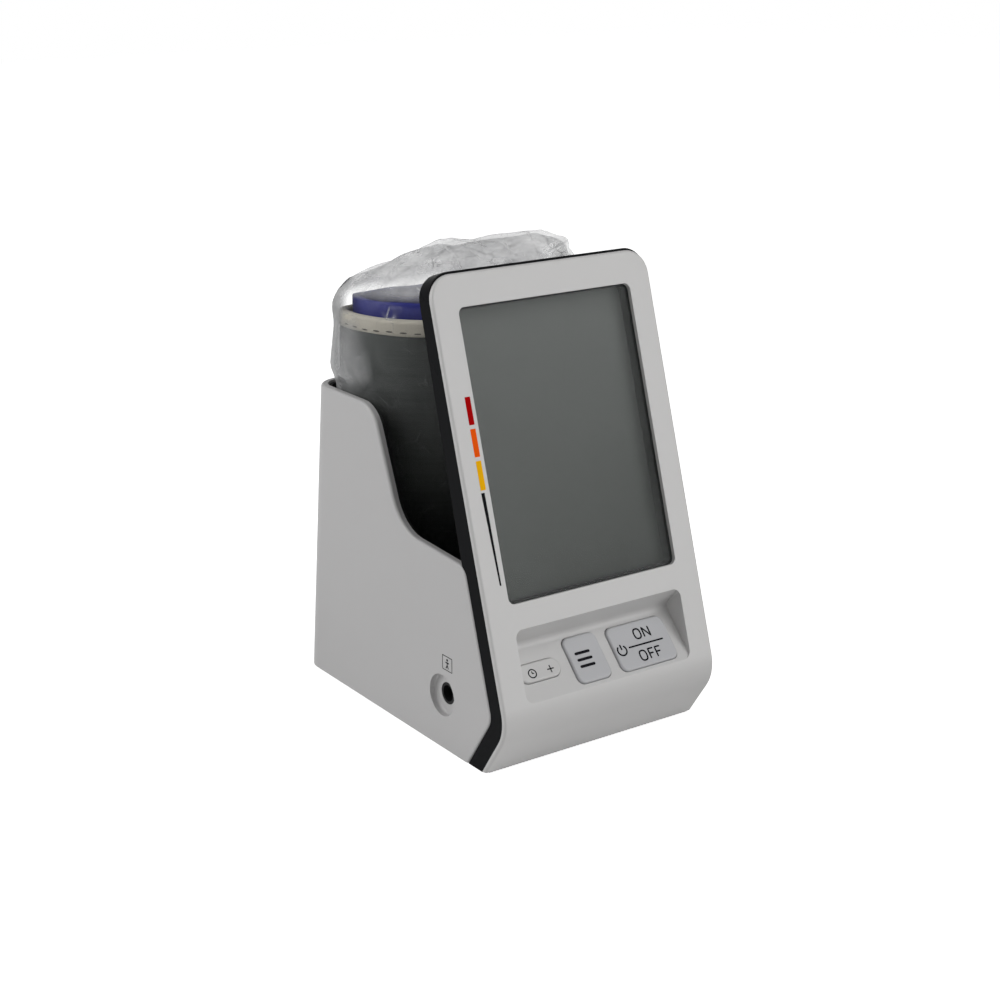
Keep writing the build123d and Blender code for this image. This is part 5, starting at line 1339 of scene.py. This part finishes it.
class MONITOR_OT_stage(Operator):
    """Builds the floor, the lamps, the sky and the camera"""

    bl_idname = "monitor.stage"
    bl_label = "Stage"

    def execute(self, context):
        chosen = settings("stage")
        self.floor(chosen)
        self.sky(chosen)
        for name, place, size in LAMPS:
            self.lamp(name.capitalize() + " lamp", place, size, getattr(chosen, name + "_power"))
        self.camera(chosen)
        context.scene.view_settings.view_transform = "Standard"
        return {"FINISHED"}

    def floor(self, chosen):
        """A wide level sheet, slightly below the feet."""
        reach = np.linspace(-FLOOR_REACH, FLOOR_REACH, 5)
        x, y = np.meshgrid(reach, reach)
        mesh = grid_mesh("floor", np.stack([x, y, np.full_like(x, -FLOOR_GAP)], -1))
        if mesh.polygons[0].normal.z < 0:
            mesh.flip_normals()
        floor = show("floor", mesh)
        material, tree, shader = start_material("Pale floor")
        glow = spread(tree, seen_directly(tree), 0.0, 1.0, 0.0, chosen.glow)
        fill(tree, shader, {
            "Base Color": (*chosen.floor, 1.0), "Roughness": 0.9, "Specular IOR Level": 0.1,
            "Emission Strength": glow, "Emission Color": WHITE,
        })
        mesh.materials.append(material)

    def sky(self, chosen):
        """White behind the object for the camera, and a share of it in reflections. The light that it
        gives falls off towards the top."""
        world = bpy.data.worlds.get("Studio") or bpy.data.worlds.new("Studio")
        world.use_nodes = True
        tree = world.node_tree
        tree.nodes.clear()
        height = apart(tree, tree.nodes.new("ShaderNodeTexCoord").outputs["Generated"])[2]
        given = math(tree, "MULTIPLY", spread(tree, height, 0.05, 0.8, 1.0, 0.05), chosen.ambient)
        seen = seen_directly(tree)
        unseen = math(tree, "SUBTRACT", 1.0, seen)
        strength = math(tree, "ADD", math(tree, "MULTIPLY", given, unseen), seen)
        light = add(tree, "ShaderNodeBackground", {"Color": WHITE, "Strength": strength})
        add(tree, "ShaderNodeOutputWorld", {"Surface": light.outputs[0]})
        bpy.context.scene.world = world

    def lamp(self, name, place, size, power):
        """A soft square lamp that looks at the object."""
        data = bpy.data.lights.new(name, "AREA")
        data.size = size
        data.energy = power
        lamp = show(name, data)
        lamp.location = place
        lamp.rotation_euler = (LAMP_AIM - Vector(place)).to_track_quat("-Z", "Y").to_euler()

    def camera(self, chosen):
        """The camera stands where the photograph was taken from."""
        data = bpy.data.cameras.new("Camera")
        data.sensor_width = 36.0
        data.lens = chosen.lens
        camera = show("Camera", data)
        camera.location = CAMERA_TARGET + CAMERA_SIDE * chosen.distance
        camera.rotation_euler = (-CAMERA_SIDE).to_track_quat("-Z", "Y").to_euler()
        bpy.context.scene.camera = camera


OPERATORS = (
    MONITOR_OT_shell,
    MONITOR_OT_display,
    MONITOR_OT_keys,
    MONITOR_OT_marks,
    MONITOR_OT_inner,
    MONITOR_OT_cuff,
    MONITOR_OT_film,
    MONITOR_OT_stage,
)


class MONITOR_PT_dressing(Panel):
    """Lists the settings and the steps that build the looks"""

    bl_label = "Monitor dressing"
    bl_space_type = "VIEW_3D"
    bl_region_type = "UI"
    bl_category = "Monitor"

    def draw(self, context):
        for name, group in SETTINGS.items():
            box = self.layout.box()
            for key in group.__annotations__:
                box.prop(getattr(context.scene, name), key)
        for operator in OPERATORS:
            self.layout.operator(operator.bl_idname)


def register():
    for name, group in SETTINGS.items():
        bpy.utils.register_class(group)
        setattr(bpy.types.Scene, name, PointerProperty(type=group))
    for operator in OPERATORS:
        bpy.utils.register_class(operator)
    bpy.utils.register_class(MONITOR_PT_dressing)


def unregister():
    bpy.utils.unregister_class(MONITOR_PT_dressing)
    for operator in reversed(OPERATORS):
        bpy.utils.unregister_class(operator)
    for name, group in SETTINGS.items():
        delattr(bpy.types.Scene, name)
        bpy.utils.unregister_class(group)


def plain(bounds):
    """A box as lists of numbers."""
    return [[float(number) for number in corner] for corner in bounds]


def main():
    register()
    bpy.ops.monitor.shell()
    bpy.ops.monitor.display()
    bpy.ops.monitor.keys()
    bpy.ops.monitor.marks()
    bpy.ops.monitor.inner()
    bpy.ops.monitor.cuff()
    bpy.ops.monitor.film()
    bpy.ops.monitor.stage()


if __name__ == "__main__":
    main()
